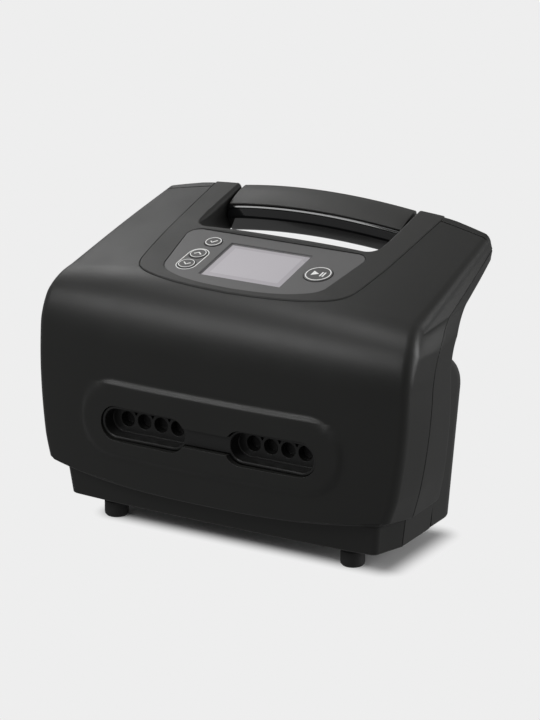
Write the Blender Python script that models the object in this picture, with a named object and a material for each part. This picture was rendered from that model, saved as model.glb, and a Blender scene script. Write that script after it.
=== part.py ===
"""Compression therapy pump: a carried bedside unit with two air sockets on its front.

Metres, +Z up. The front faces -Y and the width runs along X. Every piece hangs from one
empty, which puts the middle of the whole outline over the origin.
"""

import bpy
import bmesh
from math import atan, cos, pi, radians, sin, tan
from mathutils import Matrix, Vector

# Common fits
GAP = 0.0003
OVERRUN = 0.002
MITRE_LIMIT = 0.3
WALL = 0.0024

# Body, side view: the front and top chain, the parting chain and the rear chain
FRONT_Y = -0.075
SKIRT_Z = 0.033
LEAN_TOP_Y = -0.0695
LEAN_TOP_Z = 0.126
SLOPE_START_Y = -0.042
SLOPE_START_Z = 0.1640
BEAK_TIP_Y = 0.072
BEAK_TOP_Z = 0.194
PARTING_FOOT_Y = -0.043
PARTING_Y = -0.0386
PARTING_BEND_Z = 0.122
PARTING_SLOPE_Y = -0.008
PARTING_SLOPE_Z = 0.1603
PARTING_TIP_Z = 0.1855
REAR_FOOT_Y = -0.003
REAR_Y = -0.010
REAR_BEND_Z = 0.124
BEAK_UNDER_Y = 0.0185
BEAK_UNDER_Z = 0.160
BEAK_LIP_Z = 0.1765

# Body, widths and crowns
FOOT_HALF_WIDTH = 0.1255
SHOULDER_HALF_WIDTH = 0.1362
NECK_HALF_WIDTH = 0.1228
PARTING_FLARE = 0.0012
FRONT_BOW = 0.0110
TOP_CROWN = 0.0093
TIP_CROWN = 0.0070
CROWN_POWER = 2.6
FLARE_SHARE = 0.97
NECK_POWER = 1.15
BEND_PULL_SHARE = 0.62
FRONT_ROUND = 0.0080
REAR_ROUND = 0.0030
TIP_ROUND = 0.0030
SKIRT_CORNER_LIFT = 0.008
SIDE_SKIRT_Z = 0.036

# Plinth under the skirt
PLINTH_Z = 0.0155
PLINTH_FRONT_Y = -0.066
PLINTH_BOW = 0.003
PLINTH_HALF_WIDTH = 0.114
PLINTH_SIDE_FLARE = 0.006
PLINTH_DRAFT = 0.002
SKIRT_LIP = 0.0015

# How many steps each stretch gets
LOWER_STEPS = 4
BEND_STEPS = 8
TOP_STEPS = 5
ACROSS_STEPS = 6
ROUND_STEPS = 3

# Top console, over the slope between the shells' arms
CONSOLE_FRONT_Y = -0.0575
CONSOLE_TIP_Y = 0.0708
CONSOLE_HALF_WIDTH = 0.0860
CONSOLE_PROUD = 0.0005
CONSOLE_SLAB_SHARE = 0.84
CONSOLE_THICK = 0.0050
CONSOLE_SHARES = (
    (0.00, 0.000), (0.24, 0.005), (0.46, 0.018), (0.64, 0.040), (0.76, 0.066), (0.84, 0.100),
    (0.885, 0.140), (0.912, 0.195), (0.934, 0.300), (0.962, 0.480), (0.980, 0.700), (1.00, 1.000))
OPENING_HALF_WIDTH = 0.0663
OPENING_FRONT_Y = 0.0145
OPENING_CORNER = 0.0080
WELL_WALL = 0.0024
LIP_REACH = 0.0120

# Control panel, lying in the console's tray
PANEL_Y = -0.0217
PANEL_Z = 0.1774
PANEL_TILT = radians(13.6)
PANEL_HALF_WIDTH = 0.0655
PANEL_FRONT_HALF_WIDTH = 0.0560
PANEL_REAR = 0.0325
PANEL_FRONT = 0.0330
PANEL_CORNER = 0.0085
PANEL_THICK = 0.0012
PANEL_FRONT_SHARES = ((0.36, 0.03), (0.66, 0.12), (0.86, 0.26), (0.985, 0.32))
PANEL_SIDE_SHARES = (1.05, 0.48)
DISPLAY_HALF_WIDTH = 0.0300
DISPLAY_HALF_HEIGHT = 0.02175
DISPLAY_BORDER = 0.0030
DISPLAY_THICK = 0.0045
BOARD_THICK = 0.0016
BOARD_DEPTH = 0.0110
BOARD_REACH_SHARE = 0.78
DISPLAY_POST_X = (-0.0527, 0.0527)
DISPLAY_POST_Y = (-0.0190, 0.0200)
DISPLAY_POST_RADIUS = 0.0024

# Buttons: place on the panel and radius
BUTTONS = {
    "select_button": (Vector((-0.0420, 0.0186)), 0.0058),
    "up_button": (Vector((-0.0434, 0.0014)), 0.0058),
    "down_button": (Vector((-0.0439, -0.0127)), 0.0058),
    "start_button": (Vector((0.0455, 0.0005)), 0.0094),
}
BUTTON_TRAVEL = 0.0006
BUTTON_PROUD = 0.0006
BUTTON_SKIRT = 0.0008
BUTTON_FLANGE_Z = -0.0052
BUTTON_STEM_RADIUS = 0.0018
SWITCH_HALF_WIDTH = 0.0030
SWITCH_HEIGHT = 0.0035
KEY_CROWN_SHARES = ((1.00, 0.30), (0.93, 0.85), (0.50, 1.10), (0.00, 1.15))

# Carrying handle between the console's arms
HANDLE_Y = 0.0660
HANDLE_Z = 0.1925
HANDLE_RISE = 0.0062
HANDLE_BOW = 0.0055
CAP_DEPTH = 0.0225
CAP_THICK = 0.0055
CAP_END_GAP = 0.0017
CAP_EDGE_SHARES = ((1.00, 0.20), (0.50, 0.50), (0.00, 0.80))
GRIP_DEPTH = 0.0185
GRIP_THICK = 0.0200
GRIP_SHARES = (
    (-1.24, 0.02), (-1.28, 0.05), (-1.25, 0.09), (-1.60, 0.31), (-1.62, 0.37), (-1.24, 0.88), (-0.65, 1.00),
    (0.55, 1.00), (0.76, 0.87), (1.00, 0.48), (1.00, 0.15), (0.92, 0.02))
HANDLE_STEPS = 12
PIN_Y = 0.0610
PIN_RADIUS = 0.0035
PIN_LENGTH = 0.0075
PIN_DROP = 0.0100

# Air sockets
SOCKET_X = 0.0468
SOCKET_Z = 0.0766
SOCKET_HALF_WIDTH = 0.0300
SOCKET_HALF_HEIGHT = 0.0092
SOCKET_RIM = 0.0020
SOCKET_RIM_Y = -0.0815
SOCKET_FLOOR_Y = -0.0715
SOCKET_BACK = 0.0030
FLANGE_Y = -0.0773
OUTLET_PITCH = 0.0125
OUTLET_RADIUS = 0.00485
OUTLETS = 4
GALLERY_DEPTH = 0.0090
BRIDGE_HALF_HEIGHT = 0.0058
BRIDGE_Y = -0.0862
BARB_RADIUS = 0.0019
BARB_LENGTH = 0.0050
BOSS_HALF_WIDTH = 0.0970
BOSS_HALF_HEIGHT = 0.0265
BOSS_Z = 0.0783
BOSS_HEIGHT = 0.0020
BOSS_BEVEL = 0.0035
BOSS_RISE_SHARE = 0.75
BOSS_FIELD_SHARE = 0.55

# Rear cover behind the rear shell
COVER_TOP_Z = 0.131
COVER_SHOULDER_Z = 0.104
COVER_BACK_Y = 0.0400
COVER_FOOT_BACK_Y = 0.0360
COVER_HALF_WIDTH = 0.1195
COVER_TOP_HALF_WIDTH = 0.1245
COVER_CORNER = 0.0200
COVER_CORNER_SHARE = 0.9
WINDOW_HALF_WIDTH = 0.0700
WINDOW_LOW_Z = 0.0260
WINDOW_HIGH_Z = 0.0920
VENT_WIDTH = 0.0030
VENT_HEIGHT = 0.0300
VENT_PITCH = 0.0065
VENTS = 8
VENT_X = 0.0330
VENT_Z = 0.0720

# Feet
FOOT_RADIUS = 0.0080
FOOT_CHAMFER = 0.0020
FOOT_X = 0.0885
FOOT_FRONT_Y = -0.0500
FOOT_REAR_Y = 0.0180
FOOT_SOCKET = 0.0010
BASE_THICK = 0.0030

# Inlet for the mains lead
INLET_X = 0.0780
INLET_Z = 0.0400
INLET_HALF_WIDTH = 0.0125
INLET_HALF_HEIGHT = 0.0085
INLET_RIM = 0.0020
INLET_DEPTH = 0.0170
INLET_WALL = 0.0015
INLET_PIN = 0.0010
INLET_PIN_SHARES = ((0, 0.25), (-0.5, -0.25), (0.5, -0.25))

# Main board, on posts of the rear shell
BOARD_Y = -0.0300
BOARD_HALF_WIDTH = 0.0920
BOARD_LOW_Z = 0.0560
BOARD_HIGH_Z = 0.1180
BOARD_POST_X = (-0.0840, 0.0840)
BOARD_POST_Z = (0.0620, 0.1120)
BOARD_POST_RADIUS = 0.0030
CHIPS = ((-0.45, 0.20, 0.0090), (0.10, -0.30, 0.0065), (0.55, 0.30, 0.0050))
SENSOR_SHARES = (-0.10, 0.25)

# Pump: a linear diaphragm pump standing on rubber mounts in the rear cover
PUMP_Y = 0.0150
PUMP_Z = 0.0330
PUMP_HALF_LENGTH = 0.0420
PUMP_HALF_DEPTH = 0.0130
PUMP_HEIGHT = 0.0380
PUMP_WALL = 0.0030
HEAD_RADIUS = 0.0165
HEAD_LENGTH = 0.0120
HEAD_EDGE_SHARES = (0.8, 0.7)
HEAD_ROD_SHARE = 0.4
HEAD_BORE_SHARE = 1.6
HEAD_BARB_SHARES = (0.5, 0.6)
ARMATURE_RADIUS = 0.0030
ARMATURE_STROKE = 0.0012
MAGNET_HALF_LENGTH = 0.0100
MAGNET_HALF_HEIGHT = 0.0060
MAGNET_HALF_DEPTH = 0.0050
COIL_RADIUS = 0.0085
COIL_CORE_SHARE = 0.5
COIL_RIM_SHARE = 1.15
MOUNT_RADIUS = 0.0055
MOUNT_WAIST_SHARE = 0.7
MOUNT_RISE_SHARES = (0.3, 0.5, 0.7)
MOUNT_X = 0.0300
MOUNT_Y = 0.0070

# Valve manifold behind the bend of the front
MANIFOLD_Y = -0.0520
MANIFOLD_Z = 0.1080
MANIFOLD_HALF_WIDTH = 0.0300
MANIFOLD_POST_X = (-0.0220, 0.0220)
MANIFOLD_HALF_DEPTH = 0.0080
MANIFOLD_HALF_HEIGHT = 0.0060
VALVE_X = 0.0160
VALVE_HALF_WIDTH = 0.0095
VALVE_HALF_DEPTH = 0.0075
VALVE_HEIGHT = 0.0210
VALVE_CORE_SHARE = 0.4
HOSE_RADIUS = 0.0032
HOSE_BORE = 0.0022
HOSE_LEAD_SHARE = 1.2
HOSE_REACH_SHARES = (2.4, 3.6)
HOSE_PULL_SHARES = (0.75, 1.3)

# Battery on the base plate
BATTERY_HALF_WIDTH = 0.0560
BATTERY_Y = -0.0480
BATTERY_HALF_DEPTH = 0.0110
BATTERY_HEIGHT = 0.0230
BATTERY_EDGE = 0.0020
BATTERY_ROUND_SHARE = 0.8

# Screws
SCREW_RADIUS = 0.0028
SCREW_HEAD = 0.0018
SCREW_CROWN_SHARES = (0.7, 0.6)
SCREW_SHANK = 0.0014
SCREW_LENGTH = 0.0080
SCREW_SEAT = 0.0050
BASE_SCREWS = {"front": (0.1102, -0.0520), "rear": (0.1138, -0.0150)}
BASE_POST_RADIUS = 0.0055
BASE_POST_TOP_Z = 0.0420
COVER_SCREW_X = 0.0960
COVER_SCREW_Z = (0.0560, 0.0930)


def bezier(start, start_pull, end_pull, end, steps):
    """Points of one cubic stretch, without its first point."""
    points = []
    for step in range(1, steps + 1):
        t = step / steps
        u = 1 - t
        weights = (u ** 3, 3 * u * u * t, 3 * u * t * t, t ** 3)
        corners = (start, start_pull, end_pull, end)
        points.append(Vector((
            sum(w * p[0] for w, p in zip(weights, corners)),
            sum(w * p[1] for w, p in zip(weights, corners)),
        )))
    return points


def chain(foot, bend_start, bend_end, tip):
    """A side-view chain: a leaning line, one bend and a sloping line to the tip."""
    corner = meeting_point(foot, bend_start, bend_end, tip)
    start_pull = bend_start.lerp(corner, BEND_PULL_SHARE)
    end_pull = bend_end.lerp(corner, BEND_PULL_SHARE)
    points = [foot.lerp(bend_start, k / LOWER_STEPS) for k in range(LOWER_STEPS + 1)]
    points += bezier(bend_start, start_pull, end_pull, bend_end, BEND_STEPS)
    points += [bend_end.lerp(tip, k / TOP_STEPS) for k in range(1, TOP_STEPS + 1)]
    return points


def meeting_point(a, b, c, d):
    """Where the line a-b meets the line c-d, in the side view."""
    run = b - a
    slope = d - c
    scale = ((c.x - a.x) * slope.y - (c.y - a.y) * slope.x) / (run.x * slope.y - run.y * slope.x)
    return a + run * scale


def outward(points, side):
    """Unit normals along a chain that climbs; side is 1 for the front and -1 for the rear."""
    normals = []
    for k in range(len(points)):
        before = points[max(k - 1, 0)]
        after = points[min(k + 1, len(points) - 1)]
        along = (after - before).normalized()
        normals.append(Vector((-along.y, along.x)) * side)
    return normals


FRONT_CHAIN = chain(
    Vector((FRONT_Y, SKIRT_Z)), Vector((LEAN_TOP_Y, LEAN_TOP_Z)),
    Vector((SLOPE_START_Y, SLOPE_START_Z)), Vector((BEAK_TIP_Y, BEAK_TOP_Z)))
PARTING_CHAIN = chain(
    Vector((PARTING_FOOT_Y, SKIRT_Z)), Vector((PARTING_Y, PARTING_BEND_Z)),
    Vector((PARTING_SLOPE_Y, PARTING_SLOPE_Z)), Vector((BEAK_TIP_Y, PARTING_TIP_Z)))
REAR_CHAIN = chain(
    Vector((REAR_FOOT_Y, SKIRT_Z)), Vector((REAR_Y, REAR_BEND_Z)),
    Vector((BEAK_UNDER_Y, BEAK_UNDER_Z)), Vector((BEAK_TIP_Y, BEAK_LIP_Z)))
FRONT_NORMALS = outward(FRONT_CHAIN, 1)
REAR_NORMALS = outward(REAR_CHAIN, -1)
STATIONS = len(FRONT_CHAIN)


def half_width(station):
    """Half the body's width at a station: it flares to the shoulder, then narrows."""
    shoulder = LOWER_STEPS + BEND_STEPS / 2
    if station <= LOWER_STEPS:
        t = station / LOWER_STEPS
        return FOOT_HALF_WIDTH + (SHOULDER_HALF_WIDTH - FOOT_HALF_WIDTH) * t * (2 - t) * FLARE_SHARE
    if station <= shoulder:
        return SHOULDER_HALF_WIDTH
    t = (station - shoulder) / (STATIONS - 1 - shoulder)
    return SHOULDER_HALF_WIDTH + (NECK_HALF_WIDTH - SHOULDER_HALF_WIDTH) * t ** NECK_POWER


def crown_share(share):
    """How much of the crown stands at a share of the half width."""
    return 1 - abs(share) ** CROWN_POWER


def crown_height(station):
    """The crown at a station: the bow of the front turns into the crown of the top."""
    t = min(max((station - LOWER_STEPS) / BEND_STEPS, 0), 1)
    tip = max((station - LOWER_STEPS - BEND_STEPS) / TOP_STEPS, 0)
    top = TOP_CROWN + (TIP_CROWN - TOP_CROWN) * tip
    return FRONT_BOW + (top - FRONT_BOW) * t


def front_point(station, share, inset=0.0):
    """A point of the crowned front and top skin, at a share of the half width."""
    base = FRONT_CHAIN[station]
    normal = FRONT_NORMALS[station]
    lift = SKIRT_CORNER_LIFT * abs(share) ** CROWN_POWER if station == 0 else 0.0
    height = crown_height(station) * crown_share(share) - inset
    spot = base + normal * height
    return Vector((share * half_width(station), spot.x, spot.y + lift))


def half_ring(station, inset):
    """One half of the body's ring at a station, from the middle front round to the middle rear."""
    width = half_width(station) - inset
    ring = []
    round_front = FRONT_ROUND - inset
    flat_share = (width - round_front) / (width + inset)
    for step in range(ACROSS_STEPS + 1):
        share = flat_share * step / ACROSS_STEPS
        ring.append(front_point(station, share, inset))
    base = FRONT_CHAIN[station]
    normal = FRONT_NORMALS[station]
    for step in range(1, ROUND_STEPS + 1):
        angle = pi / 2 * step / ROUND_STEPS
        back = inset + round_front * (1 - cos(angle))
        share = (width - round_front * (1 - sin(angle))) / (width + inset)
        spot = base + normal * (crown_height(station) * crown_share(share) - back)
        lift = SKIRT_CORNER_LIFT if station == 0 else 0.0
        ring.append(Vector((share * (width + inset), spot.x, spot.y + lift)))
    parting = PARTING_CHAIN[station]
    drop = SIDE_SKIRT_Z - SKIRT_Z if station == 0 else 0.0
    ring.append(Vector((width + PARTING_FLARE, parting.x, parting.y + drop)))
    rear = REAR_CHAIN[station]
    normal = REAR_NORMALS[station]
    for step in range(ROUND_STEPS):
        angle = pi / 2 * step / (ROUND_STEPS - 1)
        back = inset + REAR_ROUND * (1 - sin(angle))
        spot = rear - normal * back
        ring.append(Vector((width - REAR_ROUND * (1 - cos(angle)), spot.x, spot.y + drop)))
    spot = rear - normal * inset
    for step in range(1, ACROSS_STEPS + 1):
        share = 1 - step / ACROSS_STEPS
        ring.append(Vector(((width - REAR_ROUND) * share, spot.x, spot.y + drop)))
    return ring


def whole_ring(half):
    """Mirrors a half ring into a closed one."""
    return half + [Vector((-p.x, p.y, p.z)) for p in reversed(half[1:-1])]


def shrink_ring(half, inset, back, tip_normal):
    """Draws a half ring in toward its middle and moves it along the tip's normal."""
    middle = (half[0] + half[-1]) / 2
    ring = []
    for p in half:
        away = p - Vector((0, middle.y, middle.z))
        away.y = 0
        keep = 1 - inset / max(away.length, inset * 2)
        ring.append(Vector((p.x * keep, p.y, middle.z + (p.z - middle.z) * keep)) + tip_normal * back)
    return ring


def plinth_half_ring(z, inset, grow):
    """The plinth's outline at a height, with the same points as a body ring."""
    width = PLINTH_HALF_WIDTH + grow - inset
    ring = []
    reach = width - FRONT_ROUND
    front = PLINTH_FRONT_Y - grow + inset
    for step in range(ACROSS_STEPS + 1):
        share = step / ACROSS_STEPS
        ring.append(Vector((reach * share, front - PLINTH_BOW * crown_share(share), z)))
    for step in range(1, ROUND_STEPS + 1):
        angle = pi / 2 * step / ROUND_STEPS
        x = width - FRONT_ROUND * (1 - sin(angle))
        ring.append(Vector((x, front + FRONT_ROUND * (1 - cos(angle)), z)))
    side = width + PLINTH_SIDE_FLARE
    ring.append(Vector((side, PARTING_FOOT_Y, z)))
    rear = REAR_FOOT_Y - inset
    for step in range(ROUND_STEPS):
        angle = pi / 2 * step / (ROUND_STEPS - 1)
        x = side - REAR_ROUND * (1 - cos(angle))
        ring.append(Vector((x, rear - REAR_ROUND * (1 - sin(angle)), z)))
    for step in range(1, ACROSS_STEPS + 1):
        ring.append(Vector(((side - REAR_ROUND) * (1 - step / ACROSS_STEPS), rear, z)))
    return ring


def loft(name, halves):
    """A closed body through mirrored rings, capped at both ends."""
    return skin(name, [whole_ring(half) for half in halves])


def skin(name, places):
    """A closed body through rings of the same count of points, capped at both ends."""
    mesh = bmesh.new()
    rings = [[mesh.verts.new(p) for p in ring] for ring in places]
    for lower, upper in zip(rings, rings[1:]):
        count = len(lower)
        for k in range(count):
            mesh.faces.new((lower[k], lower[(k + 1) % count], upper[(k + 1) % count], upper[k]))
    mesh.faces.new(list(reversed(rings[0])))
    mesh.faces.new(rings[-1])
    bmesh.ops.recalc_face_normals(mesh, faces=mesh.faces)
    bmesh.ops.triangulate(mesh, faces=[f for f in mesh.faces if len(f.verts) > 4])
    return add_mesh(name, mesh)


def body_envelope(name, inset):
    """The outside of both shells, or the hollow inside them when it has an inset."""
    bottom = PLINTH_Z - (OVERRUN if inset else 0)
    lip = SKIRT_Z + SKIRT_LIP + inset
    halves = [plinth_half_ring(bottom, inset, 0), plinth_half_ring(lip, inset, PLINTH_DRAFT)]
    foot = half_ring(0, inset)
    for p in foot:
        p.z += inset
    halves.append(foot)
    last = STATIONS - 1
    halves += [half_ring(k, inset) for k in range(1, last)]
    tip = half_ring(last, inset)
    back = Vector((0, 1, 0))
    if inset:
        halves.append([p - back * inset for p in tip])
    else:
        halves.append([p - back * TIP_ROUND for p in tip])
        halves.append(shrink_ring(tip, TIP_ROUND / 2, 0, back))
    return loft(name, halves)


def add_mesh(name, mesh):
    """Turns a bmesh into a named object in the scene."""
    data = bpy.data.meshes.new(name)
    mesh.to_mesh(data)
    mesh.free()
    piece = bpy.data.objects.new(name, data)
    bpy.context.scene.collection.objects.link(piece)
    return piece


def prism(name, outline, low, high, axis="Z"):
    """A closed prism of a 2-D outline; the outline lies in XY, or in XZ or YZ for other axes."""
    places = {
        "X": lambda a, b, c: Vector((c, a, b)),
        "Y": lambda a, b, c: Vector((a, c, b)),
        "Z": lambda a, b, c: Vector((a, b, c)),
    }
    place = places[axis]
    mesh = bmesh.new()
    bottom = [mesh.verts.new(place(a, b, low)) for a, b in outline]
    top = [mesh.verts.new(place(a, b, high)) for a, b in outline]
    count = len(outline)
    for k in range(count):
        mesh.faces.new((bottom[k], bottom[(k + 1) % count], top[(k + 1) % count], top[k]))
    mesh.faces.new(list(reversed(bottom)))
    mesh.faces.new(top)
    bmesh.ops.recalc_face_normals(mesh, faces=mesh.faces)
    return add_mesh(name, mesh)


def rounded(half_a, half_b, radius, steps=4, middle=(0, 0)):
    """A rounded rectangle's outline, counter-clockwise."""
    points = []
    for quarter, (sa, sb) in enumerate(((1, 1), (-1, 1), (-1, -1), (1, -1))):
        for step in range(steps + 1):
            angle = pi / 2 * (quarter + step / steps)
            a = sa * (half_a - radius) + radius * cos(angle)
            b = sb * (half_b - radius) + radius * sin(angle)
            points.append((middle[0] + a, middle[1] + b))
    if radius >= min(half_a, half_b):
        points = [p for k, p in enumerate(points)
                  if Vector(p) != Vector(points[k - 1]) and (Vector(p) - Vector(points[k - 1])).length > GAP / 10]
    return points


def circle(radius, sides, middle=(0, 0)):
    """A circle's outline."""
    turns = [2 * pi * k / sides for k in range(sides)]
    return [(middle[0] + radius * cos(t), middle[1] + radius * sin(t)) for t in turns]


def block(name, low, high, chamfer=0.0):
    """A box between two corners, with its edges bevelled where a chamfer is given."""
    mesh = bmesh.new()
    bmesh.ops.create_cube(mesh, size=1)
    low = Vector(low)
    high = Vector(high)
    for vert in mesh.verts:
        vert.co = Vector((low[k] + (high[k] - low[k]) * (vert.co[k] + 0.5) for k in range(3)))
    if chamfer:
        bmesh.ops.bevel(mesh, geom=mesh.edges, offset=chamfer, segments=1, affect="EDGES")
    return add_mesh(name, mesh)


def turned(name, profile, start, toward, sides=16):
    """A revolved body: profile holds (radius, distance) from the start along the way toward."""
    axis = Vector(toward).normalized()
    side = axis.orthogonal().normalized()
    other = axis.cross(side)
    mesh = bmesh.new()
    rings = []
    for radius, distance in profile:
        middle = Vector(start) + axis * distance
        if radius == 0:
            rings.append([mesh.verts.new(middle)])
            continue
        turns = [2 * pi * k / sides for k in range(sides)]
        rings.append([mesh.verts.new(middle + (side * cos(t) + other * sin(t)) * radius) for t in turns])
    for lower, upper in zip(rings, rings[1:]):
        for k in range(sides):
            after = (k + 1) % sides
            corners = [lower[k % len(lower)], lower[after % len(lower)],
                       upper[after % len(upper)], upper[k % len(upper)]]
            unique = list(dict.fromkeys(corners))
            if len(unique) > 2:
                mesh.faces.new(unique)
    if len(rings[0]) > 1:
        mesh.faces.new(list(reversed(rings[0])))
    if len(rings[-1]) > 1:
        mesh.faces.new(rings[-1])
    bmesh.ops.recalc_face_normals(mesh, faces=mesh.faces)
    return add_mesh(name, mesh)


def rod(name, radius, start, end, sides=16):
    """A plain cylinder between two points."""
    way = Vector(end) - Vector(start)
    return turned(name, ((radius, 0.0), (radius, way.length)), start, way, sides)


def hose(name, corners, outer, bore, sides=6, steps=8):
    """A hollow tube along a smooth cubic route of four corners."""
    a, b, c, d = (Vector(p) for p in corners)
    lead = BARB_LENGTH * HOSE_LEAD_SHARE
    first, last = a, d
    a = a + (b - a).normalized() * lead
    d = d + (c - d).normalized() * lead
    points = [first, a]
    for step in range(1, steps + 1):
        t = step / steps
        u = 1 - t
        points.append(a * u ** 3 + b * (3 * u * u * t) + c * (3 * u * t * t) + d * t ** 3)
    points.append(last)
    steps = len(points) - 1
    mesh = bmesh.new()
    shells = []
    for radius in (outer, bore):
        rings = []
        side = None
        for k, middle in enumerate(points):
            along = (points[min(k + 1, steps)] - points[max(k - 1, 0)]).normalized()
            if k == 0:
                along = (b - a).normalized()
            if k == steps:
                along = (d - c).normalized()
            side = along.orthogonal() if side is None else side - along * side.dot(along)
            side.normalize()
            other = along.cross(side)
            turns = [2 * pi * n / sides for n in range(sides)]
            rings.append([mesh.verts.new(middle + (side * cos(t) + other * sin(t)) * radius) for t in turns])
        shells.append(rings)
    outside, inside = shells
    for rings in shells:
        for lower, upper in zip(rings, rings[1:]):
            for k in range(sides):
                after = (k + 1) % sides
                mesh.faces.new((lower[k], lower[after], upper[after], upper[k]))
    for end in (0, -1):
        for k in range(sides):
            after = (k + 1) % sides
            mesh.faces.new((outside[end][k], outside[end][after], inside[end][after], inside[end][k]))
    bmesh.ops.recalc_face_normals(mesh, faces=mesh.faces)
    return add_mesh(name, mesh)


def combine(target, tool, operation):
    """Applies one exact Boolean and removes the tool."""
    step = target.modifiers.new(operation.lower(), "BOOLEAN")
    step.operation = operation
    step.solver = "EXACT"
    step.object = tool
    bpy.context.view_layer.update()
    graph = bpy.context.evaluated_depsgraph_get()
    result = bpy.data.meshes.new_from_object(target.evaluated_get(graph))
    target.modifiers.clear()
    old = target.data
    target.data = result
    bpy.data.meshes.remove(old)
    data = tool.data
    bpy.data.objects.remove(tool)
    bpy.data.meshes.remove(data)
    return target


def cut(target, *tools):
    """Cuts each tool out of the target."""
    for tool in tools:
        combine(target, tool, "DIFFERENCE")
    return target


def fuse(target, *tools):
    """Moulds each tool onto the target."""
    for tool in tools:
        combine(target, tool, "UNION")
    return target


def keep_inside(target, tool):
    """Keeps only what lies inside the tool."""
    return combine(target, tool, "INTERSECT")


def parting_side(name, front):
    """A prism on one side of the parting line, half a gap away from it."""
    side = 1 if front else -1
    normals = outward(PARTING_CHAIN, 1)
    line = [p + n * side * GAP / 2 for p, n in zip(PARTING_CHAIN, normals)]
    first = Vector((line[0].x, -PLINTH_Z))
    run = (line[-1] - line[-2]).normalized()
    last = line[-1] + run * PLINTH_Z
    reach = SHOULDER_HALF_WIDTH + PLINTH_Z
    if front:
        ends = [Vector((last.x, BEAK_TOP_Z + reach)), Vector((-reach, BEAK_TOP_Z + reach)),
                Vector((-reach, -PLINTH_Z))]
    else:
        ends = [Vector((reach, last.y)), Vector((reach, -PLINTH_Z))]
    outline = [(p.x, p.y) for p in [first] + line + [last] + ends]
    return prism(name, outline, -reach, reach, "X")


def finish(piece, name, colour, roughness, metallic=0.0, parent=None):
    """Names a piece, gives it its own material and hangs it from its parent."""
    piece.name = name
    piece.data.name = name
    look = bpy.data.materials.new(name)
    look.use_nodes = True
    shader = look.node_tree.nodes["Principled BSDF"]
    shader.inputs["Base Color"].default_value = (*colour, 1)
    shader.inputs["Roughness"].default_value = roughness
    shader.inputs["Metallic"].default_value = metallic
    piece.data.materials.clear()
    piece.data.materials.append(look)
    if len(piece.data.polygons) > 40:
        piece.data.shade_smooth()
        piece.data.set_sharp_from_angle(angle=radians(32))
    piece.parent = parent if parent else bpy.data.objects["datum"]
    return piece


CHARCOAL = (0.030, 0.031, 0.032)
BLACK = (0.012, 0.012, 0.013)
GREY = (0.120, 0.120, 0.122)
PALE = (0.62, 0.62, 0.66)
RUBBER = (0.020, 0.020, 0.020)
STEEL = (0.55, 0.55, 0.56)
BOARD_GREEN = (0.02, 0.16, 0.07)
COPPER = (0.62, 0.28, 0.12)
CLEAR = (0.75, 0.78, 0.80)
CELL_BLUE = (0.05, 0.12, 0.35)


def lifted(outline, by):
    """Grows a closed outline by an even distance, along the average of its sides' normals."""
    points = [Vector(p) for p in outline]
    grown = []
    count = len(points)
    for k, point in enumerate(points):
        first = (point - points[k - 1]).normalized()
        second = (points[(k + 1) % count] - point).normalized()
        normal_a = Vector((first.y, -first.x))
        normal_b = Vector((second.y, -second.x))
        middle = (normal_a + normal_b).normalized()
        grown.append(tuple(point + middle * by / max(middle.dot(normal_a), MITRE_LIMIT)))
    return grown


def mirrored(half):
    """A closed counter-clockwise outline from its +X half, given from the bottom to the top."""
    left = [(-x, y) for x, y in reversed(half)]
    points = list(half) + left
    return [p for k, p in enumerate(points) if (Vector(p) - Vector(points[k - 1])).length > GAP / 10]


def console_outline(grow=0.0):
    """The console's outer edge, seen from above."""
    length = CONSOLE_TIP_Y - CONSOLE_FRONT_Y
    half = [(CONSOLE_HALF_WIDTH * a, CONSOLE_FRONT_Y + length * b) for a, b in CONSOLE_SHARES]
    half.append((0, CONSOLE_TIP_Y))
    return lifted(mirrored(half), grow) if grow else mirrored(half)


def console_cover_outline(grow):
    """The console's outer edge alone, run past the tip, for the cut through both shells."""
    length = CONSOLE_TIP_Y - CONSOLE_FRONT_Y
    half = [(CONSOLE_HALF_WIDTH * a, CONSOLE_FRONT_Y + length * b) for a, b in CONSOLE_SHARES]
    half += [(CONSOLE_HALF_WIDTH, CONSOLE_TIP_Y + PLINTH_Z), (0, CONSOLE_TIP_Y + PLINTH_Z)]
    return lifted(mirrored(half), grow)


def skin_slab(name, outer_inset, inner_inset):
    """A slab that follows the crowned top, between two depths under its skin."""
    first = LOWER_STEPS + 3
    columns = 2 * ACROSS_STEPS + 4
    mesh = bmesh.new()
    layers = []
    for inset in (outer_inset, inner_inset):
        rows = []
        for station in range(first, STATIONS):
            shares = [(2 * k / columns - 1) * CONSOLE_SLAB_SHARE for k in range(columns + 1)]
            rows.append([front_point(station, share, inset) for share in shares])
        run = (FRONT_CHAIN[-1] - FRONT_CHAIN[-2]).normalized() * TIP_ROUND * 3
        rows.append([p + Vector((0, run.x, run.y)) for p in rows[-1]])
        layers.append([[mesh.verts.new(p) for p in row] for row in rows])
    for rows in layers:
        for lower, upper in zip(rows, rows[1:]):
            for k in range(columns):
                mesh.faces.new((lower[k], lower[k + 1], upper[k + 1], upper[k]))
    top, under = layers
    rim_top = top[0] + [r[-1] for r in top[1:-1]] + top[-1][::-1] + [r[0] for r in reversed(top[1:-1])]
    rim_under = under[0] + [r[-1] for r in under[1:-1]] + under[-1][::-1]
    rim_under += [r[0] for r in reversed(under[1:-1])]
    for k in range(len(rim_top)):
        after = (k + 1) % len(rim_top)
        mesh.faces.new((rim_top[k], rim_top[after], rim_under[after], rim_under[k]))
    bmesh.ops.recalc_face_normals(mesh, faces=mesh.faces)
    return add_mesh(name, mesh)


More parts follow.
